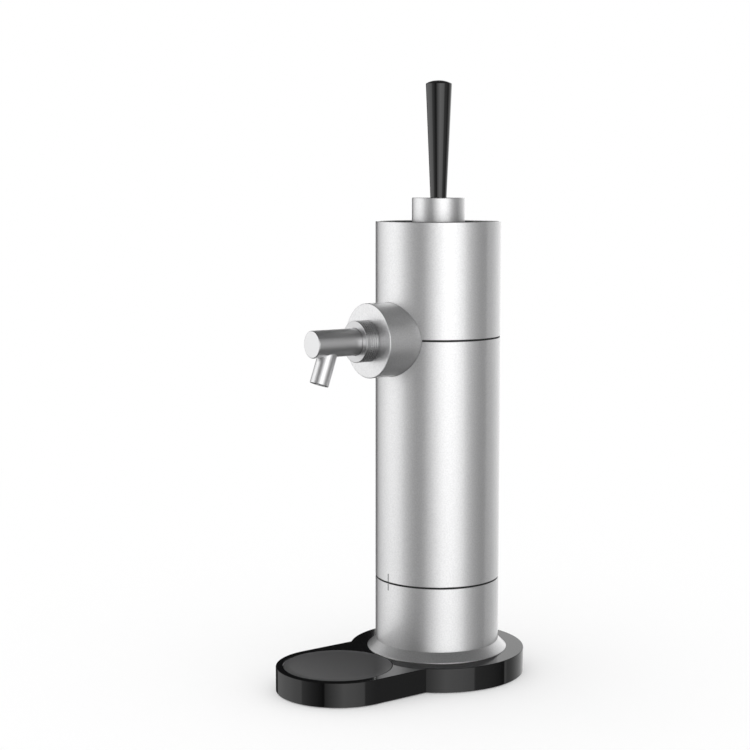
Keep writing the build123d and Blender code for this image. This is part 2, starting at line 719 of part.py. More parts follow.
with BuildPart() as upper_deck:
    switch_top = UPPER_DECK_Z - SWITCH_DROP
    wall_x = SWITCH_W / 2 + 0.1 + SWITCH_WALL_T / 2
    ring(level(UPPER_DECK_Z), COLUMN_R - UPPER_DECK_IN, 0, DECK_T)
    for way in (-1, 1):
        wall_foot = switch_top - SWITCH_H
        wall_h = UPPER_DECK_Z - wall_foot
        block(level(wall_foot), way * wall_x, 0, SWITCH_WALL_T, SWITCH_WALL_D, wall_h)
    hose_room = hose_top + HOSE_R + 1
    hose_way = 2 * HOSE_R + 2
    block(level(CUP_TOP), wall_x, 0, 4, hose_way, hose_room - CUP_TOP, Mode.SUBTRACT)
    plunger_spots = [(0, NOSE_Y), (0, -NOSE_Y)]
    rod_hole = PLUNGER_R + CLEAR
    discs(level(UPPER_DECK_Z), plunger_spots, rod_hole, DECK_T, Mode.SUBTRACT)
    deck_holes = POSTS + YOKE_SCREWS
    discs(level(UPPER_DECK_Z), deck_holes, SCREW_R + SCREW_FIT, DECK_T, Mode.SUBTRACT)
finish(upper_deck, "upper_deck")

with BuildPart() as deck_screws:
    screws(level(deck_level).rotated((180, 0, 0)), POSTS, DECK_T + POST_SCREW_L)
finish(deck_screws, "deck_screws")

with BuildPart() as micro_switches:
    for way in (-1, 1):
        block(level(switch_top), 0, way * NOSE_Y, SWITCH_W, SWITCH_D, -SWITCH_H)
finish(micro_switches, "micro_switches")

with BuildPart() as pivot_yoke:
    cheek_x = BARREL_W / 2 + CHEEK_GAP + CHEEK_T / 2
    block(level(deck_level), 0, 0, YOKE_W, YOKE_D, YOKE_T)
    block(level(deck_level), 0, 0, ROCKER_W + 1, YOKE_D - 4, YOKE_T, Mode.SUBTRACT)
    for way in (-1, 1):
        block(level(deck_level), way * cheek_x, 0, CHEEK_T, CHEEK_D, CHEEK_TOP - deck_level)
    discs(level(deck_level), YOKE_SCREWS, SCREW_R + TOUCH, YOKE_T, Mode.SUBTRACT)
    with BuildSketch(side_plane(-YOKE_W / 2)):
        Circle(PIN_PIVOT_R + PIN_FIT)
    extrude(amount=YOKE_W, mode=Mode.SUBTRACT)
finish(pivot_yoke, "pivot_yoke")

with BuildPart() as yoke_screws:
    screws(level(deck_level + YOKE_T).rotated((180, 0, 0)), YOKE_SCREWS, YOKE_T + DECK_T)
finish(yoke_screws, "yoke_screws")

with BuildPart() as top_plate:
    ring(level(top_plate_z), shell_in - TOUCH, collar_in, TOP_PLATE_T)
finish(top_plate, "top_plate")

with BuildPart() as lever_collar:
    lid_foot = COLLAR_TOP - COLLAR_LID_T
    ring(level(collar_foot), COLLAR_R, collar_in, COLLAR_TOP - collar_foot)
    ring(level(lid_foot), COLLAR_R, 0, COLLAR_LID_T)
    fillet(lever_collar.faces().sort_by(Axis.Z)[-1].outer_wire().edges(), COLLAR_EDGE)
    swing = (COLLAR_TOP - PIVOT_Z) * tan(radians(TILT))
    slot_half = swing + HANDLE_R_LOW / cos(radians(TILT)) + 2 * CLEAR
    with BuildSketch(level(lid_foot)):
        SlotOverall(2 * slot_half, 2 * (HANDLE_R_LOW + 2 * CLEAR), rotation=90)
    extrude(amount=COLLAR_LID_T, mode=Mode.SUBTRACT)
finish(lever_collar, "lever_collar")

# ==== Lever ====
with BuildPart() as lever_barrel:
    with BuildSketch(side_plane(-BARREL_W / 2)):
        Circle(BARREL_R)
    extrude(amount=BARREL_W)
    with BuildSketch(side_plane(-ROCKER_W / 2)):
        with Locations((NOSE_Y, -NOSE_DROP), (-NOSE_Y, -NOSE_DROP)):
            Circle(NOSE_R)
        with Locations((0, -NOSE_DROP + 4)):
            Rectangle(2 * NOSE_Y, 8)
    extrude(amount=ROCKER_W)
    with BuildSketch(side_plane(-BARREL_W / 2)):
        Circle(PIN_PIVOT_R + 0.02)
    extrude(amount=BARREL_W, mode=Mode.SUBTRACT)
    stem_foot = barrel_top - STEM_IN
    discs(level(stem_foot), [(0, 0)], STEM_R + 0.1, BARREL_R, Mode.SUBTRACT)
finish(lever_barrel, "lever_barrel")

with BuildPart() as pivot_pin:
    pin_half = cheek_x + CHEEK_T / 2 + 1
    with BuildSketch(side_plane(-pin_half)):
        Circle(PIN_PIVOT_R)
    extrude(amount=2 * pin_half)
finish(pivot_pin, "pivot_pin")

with BuildPart() as lever_stem:
    discs(level(stem_foot), [(0, 0)], STEM_R, STEM_L)
finish(lever_stem, "lever_stem")

with BuildPart() as handle_grip:
    grip_foot = barrel_top + TOUCH
    shoulder = HANDLE_TOP - HANDLE_DOME
    with BuildSketch(Plane(origin=(0, COLUMN_Y, 0), x_dir=(1, 0, 0), z_dir=(0, -1, 0))):
        with BuildLine():
            Polyline(
                (0, HANDLE_TOP),
                (0, grip_foot),
                (HANDLE_R_LOW, grip_foot),
                (HANDLE_R_LOW, COLLAR_TOP),
                (HANDLE_R_TOP, shoulder),
            )
            ThreePointArc(
                (HANDLE_R_TOP, shoulder),
                (HANDLE_R_TOP / 2, shoulder + sagitta_at_half(HANDLE_R_TOP, HANDLE_DOME)),
                (0, HANDLE_TOP),
            )
        make_face()
    revolve(axis=COLUMN_AXIS)
    shoulder_edge = handle_grip.edges().filter_by_position(Axis.Z, shoulder - 0.1, shoulder + 0.1)
    fillet(shoulder_edge, HANDLE_EDGE)
    bore_len = stem_foot + STEM_L - grip_foot + TOUCH
    discs(level(grip_foot), [(0, 0)], STEM_R + 0.1, bore_len, Mode.SUBTRACT)
finish(handle_grip, "handle_grip")

PLUNGERS = {"front": -1, "rear": 1}
for side, way in PLUNGERS.items():
    spot = [(0, way * NOSE_Y)]
    with BuildPart() as plunger:
        discs(level(cap_level - PLUNGER_CAP_T), spot, PLUNGER_CAP_R, PLUNGER_CAP_T)
        discs(level(PLUNGER_FOOT_Z), spot, PLUNGER_R, cap_level - PLUNGER_CAP_T - PLUNGER_FOOT_Z)
    finish(plunger, side + "_plunger")
    with BuildPart() as spring:
        spring_in = PLUNGER_R + 0.5
        spring_len = cap_level - PLUNGER_CAP_T - deck_level
        discs(level(deck_level), spot, spring_in + SPRING_WIRE, spring_len)
        discs(level(deck_level), spot, spring_in, spring_len, Mode.SUBTRACT)
    finish(spring, side + "_spring")

# ==== Tap ====
with BuildPart() as tap_boss:
    boss_screw_spots = [(BOSS_SCREW_X, BOSS_SCREW_UP), (-BOSS_SCREW_X, BOSS_SCREW_UP)]
    with BuildSketch(tap_plane(0)):
        Circle(BOSS_R)
    extrude(amount=BOSS_REACH)
    fillet(tap_boss.faces().sort_by(Axis.Y)[0].edges(), BOSS_EDGE)
    with BuildSketch(tap_plane(0)):
        Circle(BOSS_R - BOSS_WALL)
        Circle(THREAD_R, mode=Mode.SUBTRACT)
        with Locations(*boss_screw_spots):
            Circle(SCREW_POST_R, mode=Mode.SUBTRACT)
    extrude(amount=BOSS_REACH - BOSS_FRONT_T, mode=Mode.SUBTRACT)
    with BuildSketch(tap_plane(0)):
        Circle(SHANK_R + 0.1)
    extrude(amount=BOSS_REACH, mode=Mode.SUBTRACT)
    with BuildSketch(tap_plane(0)):
        with Locations(*boss_screw_spots):
            Circle(SCREW_R + SCREW_FIT)
    extrude(amount=boss_screw_seat + BOSS_SCREW_L + CLEAR, mode=Mode.SUBTRACT)
    ring(level(TAP_Z - 2 * BOSS_R), boss_back_r, 0, 4 * BOSS_R, Mode.SUBTRACT)
finish(tap_boss, "tap_boss")

with BuildPart() as boss_screws:
    screws(tap_plane(boss_screw_seat), boss_screw_spots, BOSS_SCREW_L)
finish(boss_screws, "boss_screws")

with BuildPart() as tap_shank:
    turned_about_tap(
        [
            (SHANK_BORE, chamber_front),
            (SHANK_R, chamber_front),
            (SHANK_R, BOSS_REACH),
            (THREAD_R, BOSS_REACH),
            (THREAD_R, stub_front),
            (SHANK_BORE, stub_front),
        ]
    )
finish(tap_shank, "tap_shank")

with BuildPart() as spout_seal:
    turned_about_tap(
        [
            (SHANK_BORE + 4, stub_front + 0.05),
            (THREAD_R - 1.5, stub_front + 0.05),
            (THREAD_R - 1.5, flange_back),
            (SHANK_BORE + 4, flange_back),
        ]
    )
finish(spout_seal, "spout_seal")

with BuildPart() as spout_body:
    turned_about_tap(
        [
            (0, flange_back),
            (THREAD_R - 0.2, flange_back),
            (THREAD_R - 0.2, flange_front),
            (SPOUT_R, flange_front),
            (SPOUT_R, spout_reach),
            (0, spout_reach),
        ]
    )
    fillet(spout_body.faces().sort_by(Axis.Y)[0].edges(), SPOUT_EDGE)
    with BuildSketch(tap_plane(flange_back)):
        Circle(SPOUT_BORE)
    extrude(amount=spout_reach - flange_back - 8, mode=Mode.SUBTRACT)
    lean = radians(NOZZLE_TILT)
    nozzle_dir = (0, -sin(lean), -cos(lean))
    nozzle_rise = (TAP_Z - NOZZLE_TIP_Z) / cos(lean)
    nozzle_root = (
        0,
        COLUMN_Y - nozzle_tip_reach + nozzle_rise * sin(lean),
        TAP_Z,
    )
    with BuildSketch(Plane(nozzle_root, x_dir=(1, 0, 0), z_dir=nozzle_dir)):
        Circle(SPOUT_BORE)
    extrude(amount=SPOUT_R + 8, mode=Mode.SUBTRACT)
finish(spout_body, "spout_body")

with BuildPart() as spout_nozzle:
    with BuildSketch(Plane(nozzle_root, x_dir=(1, 0, 0), z_dir=nozzle_dir)):
        Circle(NOZZLE_R)
        Circle(NOZZLE_BORE, mode=Mode.SUBTRACT)
    extrude(amount=nozzle_rise)
    with BuildSketch(tap_plane(flange_back)):
        Circle(SPOUT_R + 0.02)
    extrude(amount=spout_reach, mode=Mode.SUBTRACT)
finish(spout_nozzle, "spout_nozzle")

with BuildPart() as coupling_nut:
    nut_back = BOSS_REACH + CLEAR
    nut_bore = THREAD_R + CLEAR
    turned_about_tap(
        [
            (nut_bore, nut_back),
            (NUT_R, nut_back),
            (NUT_R, nut_reach),
            (SPOUT_R + CLEAR, nut_reach),
            (SPOUT_R + CLEAR, nut_reach - NUT_FRONT_T),
            (nut_bore, nut_reach - NUT_FRONT_T),
        ]
    )
    fillet(coupling_nut.faces().sort_by(Axis.Y)[0].outer_wire().edges(), 0.6)
    first_groove = (nut_back + nut_reach - NUT_PITCH * (NUT_GROOVES - 1)) / 2
    for i in range(NUT_GROOVES):
        with BuildSketch(tap_plane(first_groove + i * NUT_PITCH - NUT_GROOVE_W / 2)):
            Circle(NUT_R + 1)
            Circle(NUT_R - NUT_GROOVE_D, mode=Mode.SUBTRACT)
        extrude(amount=NUT_GROOVE_W, mode=Mode.SUBTRACT)
finish(coupling_nut, "coupling_nut")

os.makedirs("parts", exist_ok=True)
for piece in FINISHED:
    export_step(piece.part, "parts/" + piece.part.label + ".step")
print(len(FINISHED), "pieces")
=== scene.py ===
import math

import bmesh
import bpy
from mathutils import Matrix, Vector


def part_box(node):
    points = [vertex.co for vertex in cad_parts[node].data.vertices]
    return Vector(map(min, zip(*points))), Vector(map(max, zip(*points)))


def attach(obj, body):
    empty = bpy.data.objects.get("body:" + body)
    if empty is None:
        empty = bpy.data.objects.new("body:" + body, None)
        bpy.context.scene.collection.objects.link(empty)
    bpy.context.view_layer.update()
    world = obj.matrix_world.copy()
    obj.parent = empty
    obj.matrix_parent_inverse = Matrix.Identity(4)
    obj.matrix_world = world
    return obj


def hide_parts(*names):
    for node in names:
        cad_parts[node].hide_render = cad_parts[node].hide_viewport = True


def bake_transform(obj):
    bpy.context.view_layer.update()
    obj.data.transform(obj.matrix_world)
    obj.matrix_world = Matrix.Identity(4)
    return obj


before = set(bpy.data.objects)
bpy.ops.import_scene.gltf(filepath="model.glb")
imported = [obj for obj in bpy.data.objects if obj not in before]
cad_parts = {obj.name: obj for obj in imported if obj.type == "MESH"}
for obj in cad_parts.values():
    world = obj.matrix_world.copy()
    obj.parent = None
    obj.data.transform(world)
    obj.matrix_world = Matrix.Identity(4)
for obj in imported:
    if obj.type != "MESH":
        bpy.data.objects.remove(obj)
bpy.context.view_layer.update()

# ==== Studio ====
# The camera stands a metre and a half away, a little above the tap and to its right, with a
# long lens. Its place is given from the column's axis.
scene = bpy.context.scene
scene.view_settings.view_transform = "Standard"
column_low, column_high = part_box("column_tube")
AXIS = Vector((0, (column_low.y + column_high.y) / 2, 0))
CAMERA_PLACE = AXIS + Vector((1.1119, -0.9042, 0.4218))
CAMERA_FORWARD = Vector((-0.79427, 0.59718, -0.11142))
CAMERA_LENS = 79.58
CAMERA_SENSOR = 36
camera = bpy.data.objects.new("camera", bpy.data.cameras.new("camera"))
camera.data.lens = CAMERA_LENS
camera.data.sensor_width = CAMERA_SENSOR
camera.location = CAMERA_PLACE
camera.rotation_euler = CAMERA_FORWARD.to_track_quat("-Z", "Y").to_euler()
scene.collection.objects.link(camera)
scene.camera = camera

# The room is white. Metal and gloss see three tall soft boxes with dark gaps between, placed
# by their angle round the object, and a dark ceiling. The boxes at the sides stand higher.
TOWARDS = Vector((0.7993, -0.601, 0))
RIGHT = Vector((0.601, 0.7993, 0))
BOXES = (
    # angle in degrees, level there
    (-180, 0.02),
    (-148.7, 0.02),
    (-147.3, 0.41),
    (-124, 0.86),
    (-98, 1.29),
    (-70.7, 1.29),
    (-69.3, 0.73),
    (-48, 0.34),
    (-25.7, 0.04),
    (-24.3, 0.46),
    (-8, 1.08),
    (10, 1.82),
    (30, 1.63),
    (48.3, 1.29),
    (49.7, 0.50),
    (75, 0.31),
    (98.3, 0.06),
    (99.7, 0.85),
    (106, 0.47),
    (115, 0.53),
    (130, 0.79),
    (155, 1.05),
    (180, 1.05),
)
BOX_TOP_LEVEL = 2.0
BOX_REACH = (
    # sine of the elevation, strength of the boxes there
    (-0.54, 0),
    (-0.36, 0.75),
    (-0.285, 0.85),
    (-0.24, 0.75),
    (-0.06, 1),
    (0.33, 1),
    (0.41, 0),
)
BOX_RISE = 0.45
DARK = 0.08
AMBIENT = 1.02


def add(tree, kind, **values):
    """New shader node with its properties, or its inputs by name, set."""
    node = tree.nodes.new(kind)
    for name, value in values.items():
        if hasattr(node, name):
            setattr(node, name, value)
        else:
            node.inputs[name.replace("_", " ")].default_value = value
    return node


world = bpy.data.worlds.new("studio")
scene.world = world
world.use_nodes = True
tree = world.node_tree
tree.nodes.clear()
way = add(tree, "ShaderNodeTexCoord")
ahead = add(tree, "ShaderNodeVectorMath", operation="DOT_PRODUCT")
ahead.inputs[1].default_value = TOWARDS
aside = add(tree, "ShaderNodeVectorMath", operation="DOT_PRODUCT")
aside.inputs[1].default_value = RIGHT
turn = add(tree, "ShaderNodeMath", operation="ARCTAN2")
share = add(tree, "ShaderNodeMapRange")
share.inputs["From Min"].default_value = -math.pi
share.inputs["From Max"].default_value = math.pi
boxes = add(tree, "ShaderNodeValToRGB")
while len(boxes.color_ramp.elements) < len(BOXES):
    boxes.color_ramp.elements.new(0.5)
for element, (angle, brightness) in zip(boxes.color_ramp.elements, BOXES):
    element.position = (angle + 180) / 360
    element.color = (brightness / BOX_TOP_LEVEL,) * 3 + (1,)
height = add(tree, "ShaderNodeSeparateXYZ")
reach = add(tree, "ShaderNodeValToRGB")
while len(reach.color_ramp.elements) < len(BOX_REACH):
    reach.color_ramp.elements.new(0.5)
for element, (z, strength) in zip(reach.color_ramp.elements, BOX_REACH):
    element.position = (z + 1) / 2
    element.color = (strength,) * 3 + (1,)
above = add(tree, "ShaderNodeMath", operation="MAXIMUM")
above.inputs[1].default_value = 0.0
sideways = add(tree, "ShaderNodeMath", operation="ABSOLUTE")
rising = add(tree, "ShaderNodeMath", operation="MULTIPLY")
lowered = add(tree, "ShaderNodeMath", operation="MULTIPLY_ADD")
lowered.inputs[1].default_value = -BOX_RISE
halved = add(tree, "ShaderNodeMapRange")
halved.inputs["From Min"].default_value = -1
full = add(tree, "ShaderNodeVectorMath", operation="SCALE")
full.inputs["Scale"].default_value = BOX_TOP_LEVEL
glow = add(tree, "ShaderNodeMix")
glow.inputs["A"].default_value = DARK
rays = add(tree, "ShaderNodeLightPath")
for_gloss = add(tree, "ShaderNodeMix")
for_gloss.inputs["A"].default_value = AMBIENT
for_eye = add(tree, "ShaderNodeMix")
for_eye.inputs["B"].default_value = 1.0
light = add(tree, "ShaderNodeBackground")
output = add(tree, "ShaderNodeOutputWorld")
tree.links.new(way.outputs["Generated"], ahead.inputs[0])
tree.links.new(way.outputs["Generated"], aside.inputs[0])
tree.links.new(aside.outputs["Value"], turn.inputs[0])
tree.links.new(ahead.outputs["Value"], turn.inputs[1])
tree.links.new(turn.outputs[0], share.inputs["Value"])
tree.links.new(share.outputs[0], boxes.inputs[0])
tree.links.new(way.outputs["Generated"], height.inputs[0])
tree.links.new(height.outputs["Z"], above.inputs[0])
tree.links.new(aside.outputs["Value"], sideways.inputs[0])
tree.links.new(above.outputs[0], rising.inputs[0])
tree.links.new(sideways.outputs[0], rising.inputs[1])
tree.links.new(rising.outputs[0], lowered.inputs[0])
tree.links.new(height.outputs["Z"], lowered.inputs[2])
tree.links.new(lowered.outputs[0], halved.inputs["Value"])
tree.links.new(halved.outputs[0], reach.inputs[0])
tree.links.new(reach.outputs[0], glow.inputs["Factor"])
tree.links.new(boxes.outputs[0], full.inputs[0])
tree.links.new(full.outputs[0], glow.inputs["B"])
tree.links.new(rays.outputs["Is Glossy Ray"], for_gloss.inputs["Factor"])
tree.links.new(glow.outputs[0], for_gloss.inputs["B"])
tree.links.new(rays.outputs["Is Camera Ray"], for_eye.inputs["Factor"])
tree.links.new(for_gloss.outputs["Result"], for_eye.inputs["A"])
tree.links.new(for_eye.outputs["Result"], light.inputs["Color"])
tree.links.new(light.outputs[0], output.inputs[0])

# One broad soft lamp overhead gives the floor its shadow.
LAMP_SIZE = 1.6
LAMP_POWER = 2.0
LAMP_PLACE = Vector((0.5, -0.5, 2.0))
LAMP_AIM = Vector((0, 0, 0.2))
lamp = bpy.data.objects.new("overhead", bpy.data.lights.new("overhead", "AREA"))
lamp.data.size = LAMP_SIZE
lamp.data.energy = LAMP_POWER
lamp.location = LAMP_PLACE
lamp.rotation_euler = (LAMP_AIM - LAMP_PLACE).to_track_quat("-Z", "Y").to_euler()
lamp.visible_glossy = False
scene.collection.objects.link(lamp)

# The floor is a pale disc with a painted glow: white emission, mixed in more with distance, lightens
# its shadow near the base and far off turns it to the white of the room.
FLOOR_R = 6.0
FLOOR_SIDES = 64
FLOOR_GLOW_NEAR = -0.25
FLOOR_GLOW_FAR = 1.2
FLOOR_COLOUR = (0.96, 0.96, 0.96, 1)
floor_mesh = bmesh.new()
bmesh.ops.create_circle(floor_mesh, cap_ends=True, segments=FLOOR_SIDES, radius=FLOOR_R)
floor_data = bpy.data.meshes.new("floor")
floor_mesh.to_mesh(floor_data)
floor_mesh.free()
floor = bpy.data.objects.new("floor", floor_data)
scene.collection.objects.link(floor)
floor.visible_glossy = False
pale = bpy.data.materials.new("pale floor with painted glow")
pale.use_nodes = True
tree = pale.node_tree
tree.nodes.clear()
spot = add(tree, "ShaderNodeTexCoord")
away = add(tree, "ShaderNodeVectorMath", operation="LENGTH")
glow_share = add(tree, "ShaderNodeMapRange")
glow_share.inputs["From Min"].default_value = FLOOR_GLOW_NEAR
glow_share.inputs["From Max"].default_value = FLOOR_GLOW_FAR
matt = add(tree, "ShaderNodeBsdfDiffuse", Color=FLOOR_COLOUR)
# The emission is a painted glow that lightens the shadow on the floor near the base.
white = add(tree, "ShaderNodeEmission")
both = add(tree, "ShaderNodeMixShader")
output = add(tree, "ShaderNodeOutputMaterial")
tree.links.new(spot.outputs["Object"], away.inputs[0])
tree.links.new(away.outputs["Value"], glow_share.inputs["Value"])
tree.links.new(glow_share.outputs[0], both.inputs[0])
tree.links.new(matt.outputs[0], both.inputs[1])
tree.links.new(white.outputs[0], both.inputs[2])
tree.links.new(both.outputs[0], output.inputs[0])
floor.data.materials.append(pale)

# ==== Base shell ====
# The base is one gloss black moulding with a disc under the column and a lobe under the tap.
# Its upper edge is rounded, and a round well in the lobe takes the drip tray.
MM = 0.001
base_low, base_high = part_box("base_shell")
tray_low, tray_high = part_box("drip_tray")
TRAY_SHIFT = 1.2 * MM
TRAY_R = (tray_high.x - tray_low.x) / 2
TRAY_CENTRE = Vector((0, (tray_high.y + tray_low.y) / 2, 0))
LOBE_CENTRE = TRAY_CENTRE + Vector((0, TRAY_SHIFT, 0))
LOBE_R = LOBE_CENTRE.y - base_low.y
BASE_R = base_high.y - AXIS.y
BASE_ROUND = 0.6 * MM
BASE_FOOT_ROUND = 0.2 * MM
BASE_ROUND_STEPS = 5
BASE_FOOT_STEPS = 3
BASE_WALL = 2.5 * MM
WELL_ROOM = 0.3 * MM
WELL_R = TRAY_R + WELL_ROOM
WELL_LIP = 0.3 * MM
BIG_STEPS = 180
SMALL_STEPS = 120
BASE_BLACK = (0.002, 0.002, 0.0022, 1)


def grain_group():
    """Fine surface grain: a value that wanders round its middle, and a height for bump."""
    group = bpy.data.node_groups.new("fine grain", "ShaderNodeTree")
    for name, value in (("Scale", 700.0), ("Middle", 0.3), ("Spread", 0.05)):
        socket = group.interface.new_socket(name, in_out="INPUT", socket_type="NodeSocketFloat")
        socket.default_value = value
    for name in ("Value", "Height"):
        group.interface.new_socket(name, in_out="OUTPUT", socket_type="NodeSocketFloat")
    inside = add(group, "NodeGroupInput")
    place = add(group, "ShaderNodeTexCoord")
    noise = add(group, "ShaderNodeTexNoise", Detail=3.0, Roughness=0.55)
    centred = add(group, "ShaderNodeMath", operation="SUBTRACT")
    centred.inputs[1].default_value = 0.5
    spread = add(group, "ShaderNodeMath", operation="MULTIPLY")
    level = add(group, "ShaderNodeMath", operation="ADD")
    outside = add(group, "NodeGroupOutput")
    group.links.new(place.outputs["Object"], noise.inputs["Vector"])
    group.links.new(inside.outputs["Scale"], noise.inputs["Scale"])
    group.links.new(noise.outputs[0], centred.inputs[0])
    group.links.new(centred.outputs[0], spread.inputs[0])
    group.links.new(inside.outputs["Spread"], spread.inputs[1])
    group.links.new(spread.outputs[0], level.inputs[0])
    group.links.new(inside.outputs["Middle"], level.inputs[1])
    group.links.new(level.outputs[0], outside.inputs["Value"])
    group.links.new(noise.outputs[0], outside.inputs["Height"])
    return group


def mottle_group():
    """Noise of a given grain size that lightens and darkens a colour by a given amount."""
    group = bpy.data.node_groups.new("mottle", "ShaderNodeTree")
    group.interface.new_socket("Colour", in_out="INPUT", socket_type="NodeSocketColor")
    for name, value in (("Scale", 25.0), ("Amount", 0.06)):
        socket = group.interface.new_socket(name, in_out="INPUT", socket_type="NodeSocketFloat")
        socket.default_value = value
    group.interface.new_socket("Colour", in_out="OUTPUT", socket_type="NodeSocketColor")
    inside = add(group, "NodeGroupInput")
    place = add(group, "ShaderNodeTexCoord")
    noise = add(group, "ShaderNodeTexNoise", Detail=3.0, Roughness=0.6)
    centred = add(group, "ShaderNodeMath", operation="SUBTRACT")
    centred.inputs[1].default_value = 0.5
    spread = add(group, "ShaderNodeMath", operation="MULTIPLY")
    level = add(group, "ShaderNodeMath", operation="ADD")
    level.inputs[1].default_value = 1.0
    shaded = add(group, "ShaderNodeVectorMath", operation="SCALE")
    outside = add(group, "NodeGroupOutput")
    group.links.new(place.outputs["Object"], noise.inputs["Vector"])
    group.links.new(inside.outputs["Scale"], noise.inputs["Scale"])
    group.links.new(noise.outputs[0], centred.inputs[0])
    group.links.new(centred.outputs[0], spread.inputs[0])
    group.links.new(inside.outputs["Amount"], spread.inputs[1])
    group.links.new(spread.outputs[0], level.inputs[0])
    group.links.new(inside.outputs["Colour"], shaded.inputs[0])
    group.links.new(level.outputs[0], shaded.inputs["Scale"])
    group.links.new(shaded.outputs[0], outside.inputs["Colour"])
    return group


GRAIN = grain_group()
MOTTLE = mottle_group()
SMUDGE_SCALE = 25.0
FLECK_SCALE = 800.0
COAT_ROUGH = 0.03
RELIEF = 0.2 * MM
SHARP_ANGLE = math.radians(32)


def finish_of(name, colour, metal, rough, spread, grain, bump, coat=0.0, smudge=0.06, fleck=0.0):
    """Material with grain in its roughness and bump, and smudges and flecks in its colour."""
    material = bpy.data.materials.new(name)
    material.use_nodes = True
    tree = material.node_tree
    shader = tree.nodes["Principled BSDF"]
    shader.inputs["Metallic"].default_value = metal
    shader.inputs["Coat Weight"].default_value = coat
    shader.inputs["Coat Roughness"].default_value = COAT_ROUGH
    grains = add(tree, "ShaderNodeGroup", node_tree=GRAIN)
    grains.inputs["Scale"].default_value = grain
    grains.inputs["Middle"].default_value = rough
    grains.inputs["Spread"].default_value = spread
    smudges = add(tree, "ShaderNodeGroup", node_tree=MOTTLE)
    smudges.inputs["Colour"].default_value = colour
    smudges.inputs["Scale"].default_value = SMUDGE_SCALE
    smudges.inputs["Amount"].default_value = smudge
    flecks = add(tree, "ShaderNodeGroup", node_tree=MOTTLE)
    flecks.inputs["Scale"].default_value = FLECK_SCALE
    flecks.inputs["Amount"].default_value = fleck
    relief = add(tree, "ShaderNodeBump", Strength=bump)
    relief.inputs["Distance"].default_value = RELIEF
    tree.links.new(grains.outputs["Value"], shader.inputs["Roughness"])
    tree.links.new(grains.outputs["Height"], relief.inputs["Height"])
    tree.links.new(relief.outputs[0], shader.inputs["Normal"])
    tree.links.new(smudges.outputs["Colour"], flecks.inputs["Colour"])
    tree.links.new(flecks.outputs["Colour"], shader.inputs["Base Color"])
    return material


def piece_from(mesh, name, body, material, *nodes):
    """Object from a bmesh that rides on a body and stands for the CAD nodes named.

    A piece that spans two bodies is made with no body.
    """
    bmesh.ops.recalc_face_normals(mesh, faces=mesh.faces)
    data = bpy.data.meshes.new(name)
    mesh.to_mesh(data)
    mesh.free()
    data.materials.append(material)
    piece = bpy.data.objects.new(name, data)
    scene.collection.objects.link(piece)
    smooth(piece)
    if body:
        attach(piece, body)
    if nodes:
        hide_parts(*nodes)
    return piece


def smooth(piece):
    """Smooth shading, with the edges between separate faces left sharp."""
    piece.data.polygons.foreach_set("use_smooth", [True] * len(piece.data.polygons))
    piece.data.set_sharp_from_angle(angle=SHARP_ANGLE)


def base_loop(inset):
    """Outline of the base drawn in by inset, as points that keep their order and number."""
    big, small = BASE_R - inset, LOBE_R - inset
    cusp = math.asin(small / big)
    points = []
    for i in range(BIG_STEPS + 1):
        angle = -math.pi / 2 + cusp + (2 * math.pi - 2 * cusp) * i / BIG_STEPS
        points.append(AXIS + Vector((big * math.cos(angle), big * math.sin(angle), 0)))
    for i in range(SMALL_STEPS + 1):
        angle = math.pi + math.pi * i / SMALL_STEPS
        points.append(LOBE_CENTRE + Vector((small * math.cos(angle), small * math.sin(angle), 0)))
    return points


def ring_of(mesh, points, z):
    """Closed loop of vertices at height z."""
    return [mesh.verts.new((p.x, p.y, z)) for p in points]


def bridge(mesh, lower, upper):
    """Wall of quads between two loops of as many vertices."""
    for i in range(len(lower)):
        j = (i + 1) % len(lower)
        mesh.faces.new((lower[i], lower[j], upper[j], upper[i]))


def fill(mesh, *loops):
    """Flat face inside the first loop, with the others as holes."""
    edges = []
    for loop in loops:
        for i, vert in enumerate(loop):
            follower = loop[(i + 1) % len(loop)]
            edges.append(mesh.edges.get((vert, follower)) or mesh.edges.new((vert, follower)))
    bmesh.ops.triangle_fill(mesh, edges=edges, use_beauty=True)


gloss_black = finish_of(
    "gloss black", BASE_BLACK, metal=0.0, rough=0.035, spread=0.02, grain=300.0, bump=0.004
)
# The wall and the top each get a loop of their own beside the roundings, so that the shading
# of the roundings doesn't spread over them.
BESIDE = 0.15 * MM
mesh = bmesh.new()
profile = [(BASE_FOOT_ROUND + BESIDE, base_low.z)]
for i in range(BASE_FOOT_STEPS + 1):
    quarter = math.pi / 2 * i / BASE_FOOT_STEPS
    inset = BASE_FOOT_ROUND * (1 - math.sin(quarter))
    profile.append((inset, base_low.z + BASE_FOOT_ROUND * (1 - math.cos(quarter))))
profile.append((0, base_low.z + BASE_FOOT_ROUND + BESIDE))
profile.append((0, base_high.z - BASE_ROUND - BESIDE))
for i in range(BASE_ROUND_STEPS + 1):
    quarter = math.pi / 2 * i / BASE_ROUND_STEPS
    inset = BASE_ROUND * (1 - math.cos(quarter))
    profile.append((inset, base_high.z - BASE_ROUND * (1 - math.sin(quarter))))
profile.append((BASE_ROUND + BESIDE, base_high.z))
loops = [ring_of(mesh, base_loop(inset), z) for inset, z in profile]
for lower, upper in zip(loops, loops[1:]):
    bridge(mesh, lower, upper)
under_rim = ring_of(mesh, base_loop(BASE_WALL), base_low.z)
bridge(mesh, under_rim, loops[0])
under_top = ring_of(mesh, base_loop(BASE_WALL), tray_low.z - 2 * BASE_WALL)
bridge(mesh, under_top, under_rim)
fill(mesh, under_top)


def well_loop(mesh, radius, z):
    """Round loop about the middle of the tray's well."""
    points = []
    for i in range(BIG_STEPS):
        angle = 2 * math.pi * i / BIG_STEPS
        at = Vector((radius * math.cos(angle), radius * math.sin(angle), 0))
        points.append(TRAY_CENTRE + at)
    return ring_of(mesh, points, z)


